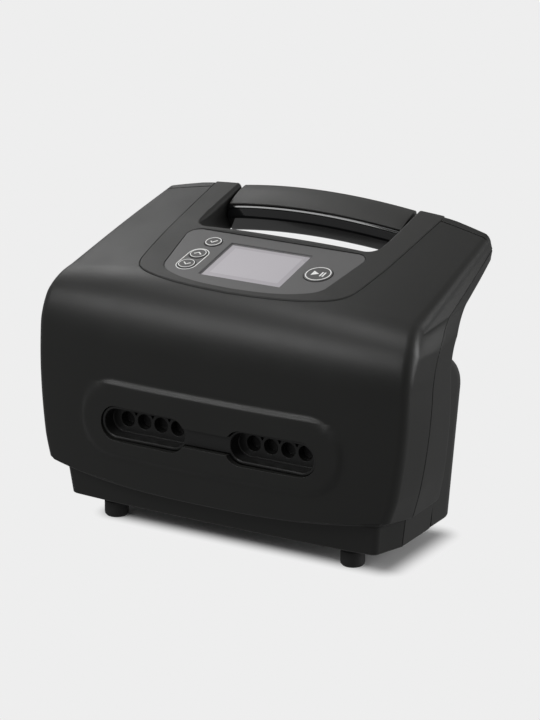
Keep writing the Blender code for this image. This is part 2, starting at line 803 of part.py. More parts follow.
def well_outline(grow, tip_y):
    """The hand opening seen from above, grown by a distance and run back to tip_y."""
    middle = (OPENING_HALF_WIDTH - OPENING_CORNER, OPENING_FRONT_Y + OPENING_CORNER)
    radius = OPENING_CORNER + grow
    half = [(0, OPENING_FRONT_Y - grow)]
    for step in range(5):
        angle = pi / 2 * (step / 4 - 1)
        half.append((middle[0] + radius * cos(angle), middle[1] + radius * sin(angle)))
    half.append((middle[0] + radius, tip_y))
    half.append((0, tip_y))
    return mirrored(half)


def panel_object(piece):
    """Places a piece that is modelled flat on the tilted control panel."""
    piece.parent = bpy.data.objects["panel_frame"]
    return piece


def panel_outline(grow=0.0):
    """The control overlay: straight at the rear, narrower and bowed toward the front."""
    half = [(0, -PANEL_FRONT)]
    for share, drop in PANEL_FRONT_SHARES:
        half.append((PANEL_FRONT_HALF_WIDTH * share, -PANEL_FRONT * (1 - drop)))
    wide, low = PANEL_SIDE_SHARES
    half.append((PANEL_FRONT_HALF_WIDTH * wide, -PANEL_FRONT * low))
    middle = (PANEL_HALF_WIDTH - PANEL_CORNER, PANEL_REAR - PANEL_CORNER)
    for step in range(6):
        angle = pi / 2 * step / 5
        half.append((middle[0] + PANEL_CORNER * cos(angle), middle[1] + PANEL_CORNER * sin(angle)))
    half.append((0, PANEL_REAR))
    return lifted(mirrored(half), grow) if grow else mirrored(half)


def in_world(piece):
    """Bakes a piece from the panel's frame into the body's frame."""
    piece.data.transform(panel_matrix())
    return piece


def panel_matrix():
    """From the panel's frame to the body's frame."""
    return Matrix.Translation((0, PANEL_Y, PANEL_Z)) @ Matrix.Rotation(PANEL_TILT, 4, "X")


def make_shells():
    """The front and rear shells, split along the parting line."""
    front = cut(body_envelope("outer", 0.0), body_envelope("inner", WALL))
    keep_inside(front, parting_side("side", True))
    reach = BEAK_TOP_Z + PLINTH_Z
    cut(front, prism("hole", console_cover_outline(GAP), LEAN_TOP_Z, reach))
    boss = port_boss()
    fuse(front, boss)
    base_posts(front, "front")
    for x in MANIFOLD_POST_X:
        low = (x, front_face_y(x, MANIFOLD_Z) + WALL / 2, MANIFOLD_Z)
        end = (x, MANIFOLD_Y - MANIFOLD_HALF_DEPTH - GAP, MANIFOLD_Z)
        fuse(front, rod("post", BOARD_POST_RADIUS, low, end, 8))
    cut(front, prism("hole", port_outline(GAP), -reach, SOCKET_FLOOR_Y, "Y"))
    finish(front, "front_shell", CHARCOAL, 0.48)

    rear = cut(body_envelope("outer", 0.0), body_envelope("inner", WALL))
    keep_inside(rear, parting_side("side", False))
    base_posts(rear, "rear")
    for x in BOARD_POST_X:
        for z in BOARD_POST_Z:
            start = (x, BOARD_Y + BOARD_THICK + GAP, z)
            fuse(rear, rod("post", BOARD_POST_RADIUS, start, (x, rear_wall_y(z) - WALL / 2, z), 8))
    window = rounded(WINDOW_HALF_WIDTH, (WINDOW_HIGH_Z - WINDOW_LOW_Z) / 2, WALL * 2, 3,
                     (0, (WINDOW_HIGH_Z + WINDOW_LOW_Z) / 2))
    cut(rear, prism("hole", window, REAR_Y - WALL * 4, REAR_FOOT_Y + WALL * 4, "Y"))
    for side in (-1, 1):
        for z in COVER_SCREW_Z:
            low = (side * COVER_SCREW_X, rear_wall_y(z) - WALL * 2, z)
            cut(rear, rod("hole", SCREW_SHANK + GAP, low, (low[0], low[1] + WALL * 4, z), 8))
    cut(rear, prism("hole", well_outline(WELL_WALL + GAP, CONSOLE_TIP_Y + PLINTH_Z), LEAN_TOP_Z, reach))
    finish(rear, "rear_shell", CHARCOAL, 0.48)


def base_posts(shell, fore):
    """Moulds the two posts for the base plate's screws onto a shell's side walls, and drills them."""
    x, y = BASE_SCREWS[fore]
    for side in (-1, 1):
        low = PLINTH_Z + BASE_THICK + GAP
        fuse(shell, rod("post", BASE_POST_RADIUS, (side * x, y, low), (side * x, y, BASE_POST_TOP_Z), 12))
        cut(shell, rod("drill", SCREW_SHANK + GAP, (side * x, y, low - OVERRUN),
                       (side * x, y, PLINTH_Z + SCREW_LENGTH + OVERRUN), 10))


def port_outline(grow):
    """Two pill sockets joined by a bridge, as seen from the front."""
    radius = SOCKET_HALF_HEIGHT + SOCKET_RIM + grow
    reach = SOCKET_HALF_WIDTH + SOCKET_RIM + grow
    bridge = BRIDGE_HALF_HEIGHT + grow
    half = [(0, SOCKET_Z - bridge)]
    dip = (radius ** 2 - bridge ** 2) ** 0.5
    near = SOCKET_X - (reach - radius)
    start = atan(bridge / dip)
    for step in range(4):
        angle = pi + start + (pi / 2 - start) * step / 3
        half.append((near + radius * cos(angle), SOCKET_Z + radius * sin(angle)))
    far = SOCKET_X + (reach - radius)
    for step in range(9):
        angle = -pi / 2 + pi * step / 8
        half.append((far + radius * cos(angle), SOCKET_Z + radius * sin(angle)))
    for step in range(4):
        angle = pi / 2 + (pi / 2 - start) * step / 3
        half.append((near + radius * cos(angle), SOCKET_Z + radius * sin(angle)))
    half.append((0, SOCKET_Z + bridge))
    return mirrored(half)


def boss_ring(inset, stand):
    """A ring of the raised plateau round the sockets, following the bowed front."""
    high = BOSS_HALF_HEIGHT - inset
    outline = rounded(BOSS_HALF_WIDTH - inset, high, high, 6, (0, BOSS_Z))
    ring = []
    for a, b in densified(outline):
        ring.append(Vector((a, front_face_y(a, b) - stand, b)))
    return ring


def densified(outline):
    """Adds points along the outline's long straight sides."""
    points = []
    count = len(outline)
    for k in range(count):
        a = Vector(outline[k])
        b = Vector(outline[(k + 1) % count])
        points.append(tuple(a))
        if (b - a).length > BOSS_HALF_WIDTH:
            points += [tuple(a.lerp(b, n / 10)) for n in range(1, 10)]
    return points


def front_face_y(x, z):
    """Where the front skin lies at a place on the lower front."""
    t = (z - SKIRT_Z) / (LEAN_TOP_Z - SKIRT_Z)
    line = FRONT_Y + (LEAN_TOP_Y - FRONT_Y) * t
    width = FOOT_HALF_WIDTH + (SHOULDER_HALF_WIDTH - FOOT_HALF_WIDTH) * t * (2 - t) * FLARE_SHARE
    return line - FRONT_BOW * crown_share(x / width)


def port_boss():
    """The raised plateau round the sockets, with a soft bevel, sunk into the front wall."""
    mesh = bmesh.new()
    rings = [boss_ring(0, -WALL / 2), boss_ring(0, 0),
             boss_ring(BOSS_BEVEL / 2, BOSS_HEIGHT * BOSS_RISE_SHARE),
             boss_ring(BOSS_BEVEL, BOSS_HEIGHT), boss_ring(BOSS_HALF_HEIGHT * BOSS_FIELD_SHARE, BOSS_HEIGHT)]
    rows = [[mesh.verts.new(p) for p in ring] for ring in rings]
    count = len(rows[0])
    for lower, upper in zip(rows, rows[1:]):
        for k in range(count):
            mesh.faces.new((lower[k], lower[(k + 1) % count], upper[(k + 1) % count], upper[k]))
    cap_front = mesh.faces.new(rows[-1])
    cap_back = mesh.faces.new(list(reversed(rows[0])))
    bmesh.ops.triangulate(mesh, faces=[cap_front, cap_back])
    bmesh.ops.recalc_face_normals(mesh, faces=mesh.faces)
    return add_mesh("boss", mesh)


def button_outline(radius, grow):
    """A button's hole on the panel."""
    return circle(radius + grow, 18)


def make_console():
    """The console with its tray for the overlay, its display window and the hand opening's wall."""
    console = skin_slab("console", -CONSOLE_PROUD, CONSOLE_THICK)
    keep_inside(console, prism("edge", console_outline(), LEAN_TOP_Z, BEAK_TOP_Z + PLINTH_Z))
    outline = well_outline(WELL_WALL, CONSOLE_TIP_Y - TIP_ROUND)
    well = prism("well", outline, PARTING_BEND_Z, BEAK_TOP_Z + PLINTH_Z)
    keep_inside(well, body_envelope("trim", GAP))
    fuse(console, well)
    lip = cut(body_envelope("lip", GAP / 2), body_envelope("hollow", WALL))
    keep_inside(lip, parting_side("side", True))
    keep_inside(lip, prism("edge", console_outline(-GAP), LEAN_TOP_Z, BEAK_TOP_Z + PLINTH_Z))
    wide = CONSOLE_HALF_WIDTH + WALL
    keep_inside(lip, block("tip", (-wide, CONSOLE_TIP_Y - LIP_REACH, LEAN_TOP_Z),
                           (wide, CONSOLE_TIP_Y + PLINTH_Z, BEAK_TOP_Z + PLINTH_Z)))
    fuse(console, lip)
    cut(console, prism("opening", well_outline(0, CONSOLE_TIP_Y + PLINTH_Z), PARTING_BEND_Z - OVERRUN,
                       BEAK_TOP_Z + PLINTH_Z * 2))
    for side in (-1, 1):
        x = side * OPENING_HALF_WIDTH
        low = Vector((x - side * OVERRUN, PIN_Y, HANDLE_Z - PIN_DROP))
        cut(console, rod("pin_hole", PIN_RADIUS + GAP, low, low + Vector((side * WALL * 3, 0, 0)), 12))
    tray = prism("tray", panel_outline(GAP), -PANEL_THICK, PANEL_REAR)
    cut(console, in_world(tray))
    border = DISPLAY_BORDER + GAP
    window = rounded(DISPLAY_HALF_WIDTH + border, DISPLAY_HALF_HEIGHT + border, GAP * 3, 2)
    cut(console, in_world(prism("window", window, -PANEL_REAR, PANEL_REAR)))
    for x in DISPLAY_POST_X:
        for y in DISPLAY_POST_Y:
            post = rod("post", DISPLAY_POST_RADIUS, (x, y, -BOARD_DEPTH + GAP), (x, y, -CONSOLE_THICK / 2), 8)
            fuse(console, in_world(post))
    for place, radius in BUTTONS.values():
        hole = [(a + place.x, b + place.y) for a, b in button_outline(radius, GAP * 2)]
        cut(console, in_world(prism("hole", hole, -PANEL_REAR, PANEL_REAR)))
    finish(console, "top_console", CHARCOAL, 0.46)


def make_overlay():
    """The lighter control overlay, with holes for the display and the buttons."""
    overlay = prism("overlay", panel_outline(), GAP - PANEL_THICK, 0)
    cut(overlay, prism("window", rounded(DISPLAY_HALF_WIDTH, DISPLAY_HALF_HEIGHT, GAP * 3, 2),
                       -PANEL_REAR, PANEL_REAR))
    for place, radius in BUTTONS.values():
        hole = [(a + place.x, b + place.y) for a, b in button_outline(radius, GAP)]
        cut(overlay, prism("hole", hole, -PANEL_REAR, PANEL_REAR))
    finish(panel_object(overlay), "control_overlay", GREY, 0.42, 0, bpy.data.objects["panel_frame"])


def make_display():
    """The display module under the overlay's window and the board that carries it."""
    panel = bpy.data.objects["panel_frame"]
    low_z = -PANEL_THICK - DISPLAY_THICK
    wide = DISPLAY_HALF_WIDTH + DISPLAY_BORDER
    high = DISPLAY_HALF_HEIGHT + DISPLAY_BORDER
    glass = block("display", (-wide, -high, low_z), (wide, high, -PANEL_THICK), GAP)
    finish(glass, "display_module", PALE, 0.25, 0, panel)

    top = -BOARD_DEPTH
    reach = PANEL_FRONT_HALF_WIDTH
    outline = rounded(reach, PANEL_REAR * BOARD_REACH_SHARE, DISPLAY_BORDER, 2)
    board = prism("board", outline, top - BOARD_THICK, top)
    frame = block("frame", (-DISPLAY_HALF_WIDTH, -DISPLAY_HALF_HEIGHT, top - BOARD_THICK / 2),
                  (DISPLAY_HALF_WIDTH, DISPLAY_HALF_HEIGHT, low_z - GAP))
    fuse(board, frame)
    for place, radius in BUTTONS.values():
        low = (place.x - SWITCH_HALF_WIDTH, place.y - SWITCH_HALF_WIDTH, top - BOARD_THICK / 2)
        high = (place.x + SWITCH_HALF_WIDTH, place.y + SWITCH_HALF_WIDTH, top + SWITCH_HEIGHT)
        fuse(board, block("switch", low, high))
    finish(board, "display_board", BOARD_GREEN, 0.5, 0, panel)


def make_buttons():
    """The four keys: a cap through the overlay, a wider skirt under it and a stem to the switch."""
    panel = bpy.data.objects["panel_frame"]
    for name, (place, radius) in BUTTONS.items():
        stem_end = -BOARD_DEPTH + SWITCH_HEIGHT + BUTTON_TRAVEL + GAP
        flange = radius + BUTTON_SKIRT
        profile = [(BUTTON_STEM_RADIUS, stem_end), (BUTTON_STEM_RADIUS, BUTTON_FLANGE_Z - BUTTON_SKIRT),
                   (flange, BUTTON_FLANGE_Z - BUTTON_SKIRT), (flange, BUTTON_FLANGE_Z), (radius, BUTTON_FLANGE_Z)]
        profile += [(radius * a, BUTTON_PROUD * b) for a, b in KEY_CROWN_SHARES]
        key = turned(name, profile, (0, 0, 0), (0, 0, 1), 18)
        key.location = (place.x, place.y, 0)
        finish(key, name, GREY, 0.42, 0, panel)


def cap_corners():
    """The cap's section: a flat underside, eased edges and a low crown."""
    half = CAP_DEPTH / 2
    edge = WALL / 2
    crown = CAP_THICK / 4
    right = [(half, edge), (half, CAP_THICK - edge)]
    right += [((half - edge) * a if a == 1 else half * a, CAP_THICK + crown * (b if a < 1 else -b))
              for a, b in CAP_EDGE_SHARES]
    left = [(-a, b) for a, b in reversed(right[:-1])]
    return [(-half + edge, 0), (half - edge, 0)] + right + left


def grip_corners():
    """The grip's section: a bead under the cap's edge, a tilted brow below it and a deep rounded bar."""
    return [(GRIP_DEPTH / 2 * a, -GRIP_THICK * b) for a, b in GRIP_SHARES]


def handle_section(x, corners):
    """One cross-section of the handle: it rises and bows forward toward the middle."""
    rise = HANDLE_RISE * (1 - (x / OPENING_HALF_WIDTH) ** 2)
    bow = HANDLE_BOW * (1 - (x / OPENING_HALF_WIDTH) ** 2)
    ring = []
    for a, b in corners:
        y = a * cos(PANEL_TILT) - b * sin(PANEL_TILT)
        z = a * sin(PANEL_TILT) + b * cos(PANEL_TILT)
        ring.append(Vector((x, HANDLE_Y - bow + y, HANDLE_Z + rise + z)))
    return ring


def handle_bar(name, corners, end_gap):
    """A bar between the console's arms, lofted through sections across its width."""
    reach = OPENING_HALF_WIDTH - end_gap
    mesh = bmesh.new()
    rings = []
    for step in range(HANDLE_STEPS + 1):
        x = reach * (step - HANDLE_STEPS / 2) / (HANDLE_STEPS / 2)
        rings.append([mesh.verts.new(p) for p in handle_section(x, corners)])
    for lower, upper in zip(rings, rings[1:]):
        count = len(lower)
        for k in range(count):
            mesh.faces.new((lower[k], lower[(k + 1) % count], upper[(k + 1) % count], upper[k]))
    ends = [mesh.faces.new(list(reversed(rings[0]))), mesh.faces.new(rings[-1])]
    bmesh.ops.triangulate(mesh, faces=ends)
    bmesh.ops.recalc_face_normals(mesh, faces=mesh.faces)
    return add_mesh(name, mesh)


def make_handle():
    """The glossy grip, pinned and screwed into the arms, and the matte cap over it."""
    cap = handle_bar("cap", cap_corners(), CAP_END_GAP)
    finish(cap, "handle_cap", CHARCOAL, 0.46)
    grip = handle_bar("grip", grip_corners(), GAP)
    for side in (-1, 1):
        low = Vector((side * (OPENING_HALF_WIDTH - WALL), PIN_Y, HANDLE_Z - PIN_DROP))
        end = low + Vector((side * (WALL * 2 + PIN_LENGTH), 0, 0))
        fuse(grip, rod("pin", PIN_RADIUS, low, end, 12))
        drill = end - Vector((side * (SCREW_LENGTH + GAP), 0, 0))
        cut(grip, rod("drill", SCREW_SHANK + GAP, drill, end + Vector((side * OVERRUN, 0, 0)), 10))
    finish(grip, "handle_grip", BLACK, 0.12)


def make_port_block():
    """One dark moulding with both air sockets, the bridge between them and the barbs behind."""
    outline = port_outline(0.0)
    port = prism("port", outline, SOCKET_RIM_Y, SOCKET_FLOOR_Y + SOCKET_BACK, "Y")
    flange = prism("flange", lifted(outline, SOCKET_RIM), FLANGE_Y, FLANGE_Y + SOCKET_BACK, "Y")
    fuse(port, flange)
    bridge = rounded(SOCKET_X - SOCKET_HALF_WIDTH, BRIDGE_HALF_HEIGHT, GAP * 2, 2, (0, SOCKET_Z))
    fuse(port, prism("bridge", bridge, BRIDGE_Y, SOCKET_RIM_Y + GAP, "Y"))
    back = SOCKET_FLOOR_Y + SOCKET_BACK
    for side in (-1, 1):
        x = side * SOCKET_X
        pill = rounded(SOCKET_HALF_WIDTH, SOCKET_HALF_HEIGHT, SOCKET_HALF_HEIGHT, 5, (x, SOCKET_Z))
        cut(port, prism("socket", pill, SOCKET_RIM_Y - OVERRUN, SOCKET_FLOOR_Y, "Y"))
        wide = SOCKET_HALF_WIDTH - WALL
        gallery = rounded(wide, SOCKET_HALF_HEIGHT - WALL / 2, SOCKET_RIM, 3, (x, SOCKET_Z))
        fuse(port, prism("gallery", gallery, back - GAP, back + GALLERY_DEPTH, "Y"))
        for k in range(OUTLETS):
            hole = circle(OUTLET_RADIUS, 16, (x + OUTLET_PITCH * (k - (OUTLETS - 1) / 2), SOCKET_Z))
            cut(port, prism("outlet", hole, SOCKET_FLOOR_Y - OVERRUN, back + GALLERY_DEPTH - WALL, "Y"))
        start = Vector((x, back + GALLERY_DEPTH - GAP, SOCKET_Z))
        fuse(port, rod("barb", BARB_RADIUS, start, start + Vector((0, BARB_LENGTH, 0)), 10))
    finish(port, "port_block", BLACK, 0.38)


def cover_half_ring(z, inset):
    """The rear cover's half outline at a height, open edge first."""
    t = min(max((z - PLINTH_Z) / (COVER_SHOULDER_Z - PLINTH_Z), 0), 1)
    width = COVER_HALF_WIDTH + (COVER_TOP_HALF_WIDTH - COVER_HALF_WIDTH) * t - inset
    back = COVER_FOOT_BACK_Y + (COVER_BACK_Y - COVER_FOOT_BACK_Y) * t - inset
    front = rear_wall_y(z) + GAP
    if z > COVER_SHOULDER_Z:
        fall = (z - COVER_SHOULDER_Z) / (COVER_TOP_Z - inset - COVER_SHOULDER_Z)
        depth = (back - front - WALL) * (1 - min(fall, 1) ** 2) ** 0.5
        back = front + WALL + depth
    front = front - OVERRUN if inset else front
    corner = min(COVER_CORNER - inset, (back - front) * COVER_CORNER_SHARE)
    ring = [Vector((width * k / 4, front, z)) for k in range(5)]
    for step in range(6):
        angle = pi / 2 * step / 5
        x = width - corner * (1 - cos(angle))
        ring.append(Vector((x, back - corner * (1 - sin(angle)), z)))
    reach = width - corner
    ring += [Vector((reach * (1 - k / 4), back, z)) for k in range(1, 5)]
    return ring


def rear_wall_y(z):
    """Where the rear shell's back wall lies at a height."""
    t = min(max((z - SKIRT_Z) / (REAR_BEND_Z - SKIRT_Z), 0), 1)
    return REAR_FOOT_Y + (REAR_Y - REAR_FOOT_Y) * t


def cover_body(name, inset):
    """The outside of the rear cover, or its hollow."""
    low = PLINTH_Z + inset
    high = COVER_TOP_Z - inset
    heights = [low, SKIRT_Z, (SKIRT_Z + COVER_SHOULDER_Z) / 2, COVER_SHOULDER_Z]
    rise = high - COVER_SHOULDER_Z
    heights += [COVER_SHOULDER_Z + rise * sin(pi / 2 * k / 6) for k in range(1, 7)]
    return loft(name, [cover_half_ring(z, inset) for z in heights])


def make_rear_cover():
    """The deep rear cover with its louvres, its inlet hole and seats for two feet."""
    cover = cut(cover_body("cover", 0.0), cover_body("hollow", WALL))
    for side in (-1, 1):
        for k in range(VENTS):
            x = side * VENT_X + VENT_PITCH * (k - (VENTS - 1) / 2)
            slot = rounded(VENT_WIDTH / 2, VENT_HEIGHT / 2, VENT_WIDTH / 3, 1, (x, VENT_Z))
            cut(cover, prism("vent", slot, COVER_FOOT_BACK_Y - COVER_CORNER, COVER_BACK_Y + OVERRUN, "Y"))
    hole = inlet_outline(GAP)
    cut(cover, prism("inlet_hole", hole, COVER_FOOT_BACK_Y - COVER_CORNER, COVER_BACK_Y + OVERRUN, "Y"))
    for side in (-1, 1):
        for z in COVER_SCREW_Z:
            base = rear_wall_y(z)
            spot = (side * COVER_SCREW_X, base + GAP * 2, z)
            post = rod("post", SCREW_RADIUS + WALL, spot, (spot[0], COVER_BACK_Y - WALL, z), 8)
            fuse(cover, keep_inside(post, cover_body("trim", WALL / 2)))
            drill = rod("drill", SCREW_RADIUS + GAP, (spot[0], base + SCREW_SEAT, z),
                        (spot[0], COVER_BACK_Y + OVERRUN, z), 10)
            cut(cover, drill)
            cut(cover, rod("drill", SCREW_SHANK + GAP, (spot[0], base - OVERRUN, z),
                           (spot[0], base + SCREW_SEAT + OVERRUN, z), 10))
    for side in (-1, 1):
        seat = (side * FOOT_X, FOOT_REAR_Y, PLINTH_Z)
        cut(cover, rod("seat", FOOT_RADIUS + GAP, (*seat[:2], 0), (*seat[:2], PLINTH_Z + FOOT_SOCKET)))
    finish(cover, "rear_cover", CHARCOAL, 0.5)


def inlet_outline(grow):
    """The mains inlet's outline with its two cut corners."""
    a = INLET_HALF_WIDTH + grow
    b = INLET_HALF_HEIGHT + grow
    snip = INLET_RIM * 2
    points = ((-a, -b), (a, -b), (a, b - snip), (a - snip, b), (-a + snip, b), (-a, b - snip))
    return [(INLET_X + x, INLET_Z + z) for x, z in points]


def make_inlet():
    """The mains inlet, let into the rear cover."""
    back = cover_half_ring(INLET_Z, 0.0)[-1].y
    rim = lifted(inlet_outline(0.0), INLET_RIM)
    lean = (COVER_BACK_Y - COVER_FOOT_BACK_Y) / (COVER_SHOULDER_Z - PLINTH_Z)
    face = back + GAP + lean * (INLET_HALF_HEIGHT + INLET_RIM)
    inlet = prism("inlet", inlet_outline(0.0), face - INLET_DEPTH, face + GAP, "Y")
    fuse(inlet, prism("rim", rim, face, face + INLET_WALL, "Y"))
    cut(inlet, prism("recess", lifted(inlet_outline(0.0), -INLET_WALL), back - INLET_DEPTH + INLET_RIM * 2,
                     back + INLET_RIM * 2, "Y"))
    for x, z in INLET_PIN_SHARES:
        middle = Vector((INLET_X + INLET_HALF_WIDTH * x, 0, INLET_Z + INLET_HALF_HEIGHT * z))
        low = middle + Vector((-INLET_PIN, back - INLET_DEPTH + INLET_RIM, -INLET_PIN * 2))
        high = middle + Vector((INLET_PIN, back - INLET_RIM, INLET_PIN * 2))
        fuse(inlet, block("pin", low, high))
    finish(inlet, "mains_inlet", BLACK, 0.4)


def make_base():
    """The base plate inside the plinth, its seats for the front feet, and the four feet."""
    inset = WALL + GAP
    half = plinth_half_ring(0, inset, 0)
    outline = [(p.x, p.y) for p in whole_ring(half)]
    clean = [p for k, p in enumerate(outline) if (Vector(p) - Vector(outline[k - 1])).length > GAP / 10]
    base = prism("base", clean, PLINTH_Z, PLINTH_Z + BASE_THICK)
    for side in (-1, 1):
        spot = (side * FOOT_X, FOOT_FRONT_Y)
        cut(base, rod("seat", FOOT_RADIUS + GAP, (*spot, 0), (*spot, PLINTH_Z + FOOT_SOCKET)))
        for x, y in BASE_SCREWS.values():
            cut(base, rod("hole", SCREW_SHANK + GAP, (side * x, y, 0), (side * x, y, BASE_POST_TOP_Z), 10))
    finish(base, "base_plate", CHARCOAL, 0.5)
    for fore, y in (("front", FOOT_FRONT_Y), ("rear", FOOT_REAR_Y)):
        for hand, side in (("left", -1), ("right", 1)):
            profile = ((FOOT_RADIUS - FOOT_CHAMFER, 0), (FOOT_RADIUS, FOOT_CHAMFER),
                       (FOOT_RADIUS, PLINTH_Z + FOOT_SOCKET - GAP))
            foot = turned("foot", profile, (side * FOOT_X, y, 0), (0, 0, 1), 16)
            finish(foot, f"foot_{fore}_{hand}", RUBBER, 0.8)


def make_screw(name, place, toward, colour=STEEL):
    """A pan-head screw: its head at the place, its shank running on toward the given way."""
    flat, edge = SCREW_CROWN_SHARES
    profile = ((SCREW_RADIUS * flat, -SCREW_HEAD), (SCREW_RADIUS, -SCREW_HEAD * edge), (SCREW_RADIUS, 0),
               (SCREW_SHANK, 0), (SCREW_SHANK, SCREW_LENGTH - SCREW_SHANK), (0, SCREW_LENGTH))
    finish(turned(name, profile, place, toward, 8), name, colour, 0.35, 1.0)


def make_screws():
    """The screws of the rear cover, the base plate and the handle's pins."""
    for hand, side in (("left", -1), ("right", 1)):
        for level, z in zip(("lower", "upper"), COVER_SCREW_Z):
            place = (side * COVER_SCREW_X, rear_wall_y(z) + SCREW_SEAT + GAP, z)
            make_screw(f"cover_screw_{level}_{hand}", place, (0, -1, 0))
        for fore, (x, y) in BASE_SCREWS.items():
            make_screw(f"base_screw_{fore}_{hand}", (side * x, y, PLINTH_Z - GAP), (0, 0, 1))
        end = side * (OPENING_HALF_WIDTH + WALL + PIN_LENGTH + GAP)
        make_screw(f"handle_screw_{hand}", (end, PIN_Y, HANDLE_Z - PIN_DROP), (-side, 0, 0))


def make_boards():
    """The main board with its chips and the pressure sensor on it."""
    middle_z = (BOARD_LOW_Z + BOARD_HIGH_Z) / 2
    outline = rounded(BOARD_HALF_WIDTH, (BOARD_HIGH_Z - BOARD_LOW_Z) / 2, WALL, 2, (0, middle_z))
    board = prism("board", outline, BOARD_Y, BOARD_Y + BOARD_THICK, "Y")
    for share, rise, size in CHIPS:
        x = BOARD_HALF_WIDTH * share
        z = middle_z + (BOARD_HIGH_Z - BOARD_LOW_Z) / 2 * rise
        low = (x - size, BOARD_Y - BOARD_THICK, z - size)
        fuse(board, block("chip", low, (x + size, BOARD_Y + GAP, z + size)))
    finish(board, "main_board", BOARD_GREEN, 0.5)
    along, rise = SENSOR_SHARES
    x = BOARD_HALF_WIDTH * along
    z = middle_z + (BOARD_HIGH_Z - BOARD_LOW_Z) * rise
    low = (x - VALVE_HALF_WIDTH / 2, BOARD_Y - BOARD_THICK * 3, z - VALVE_HALF_WIDTH / 2)
    sensor = block("sensor", low, (x + VALVE_HALF_WIDTH / 2, BOARD_Y - GAP, z + VALVE_HALF_WIDTH / 2))
    fuse(sensor, rod("port", BARB_RADIUS, (x, BOARD_Y - BOARD_THICK * 2, z),
                     (x, BOARD_Y - BOARD_THICK * 3 - BARB_LENGTH / 2, z), 10))
    finish(sensor, "pressure_sensor", BLACK, 0.4)


def make_battery():
    """The shrink-wrapped battery pack, three cells side by side, standing on the base plate."""
    radius = BATTERY_HALF_DEPTH
    low = PLINTH_Z + BASE_THICK + GAP
    middle = (BATTERY_Y, low + BATTERY_HEIGHT / 2)
    outline = rounded(radius, BATTERY_HEIGHT / 2, radius * BATTERY_ROUND_SHARE, 5, middle)
    waist = lifted(outline, -BATTERY_EDGE / 2)
    stations = [(-BATTERY_HALF_WIDTH, waist), (BATTERY_EDGE - BATTERY_HALF_WIDTH, outline)]
    for share in (-1 / 3, 1 / 3):
        x = BATTERY_HALF_WIDTH * share
        stations += [(x - BATTERY_EDGE, outline), (x, waist), (x + BATTERY_EDGE, outline)]
    stations += [(BATTERY_HALF_WIDTH - BATTERY_EDGE, outline), (BATTERY_HALF_WIDTH, waist)]
    pack = skin("pack", [[Vector((x, a, b)) for a, b in ring] for x, ring in stations])
    finish(pack, "battery_pack", CELL_BLUE, 0.35)


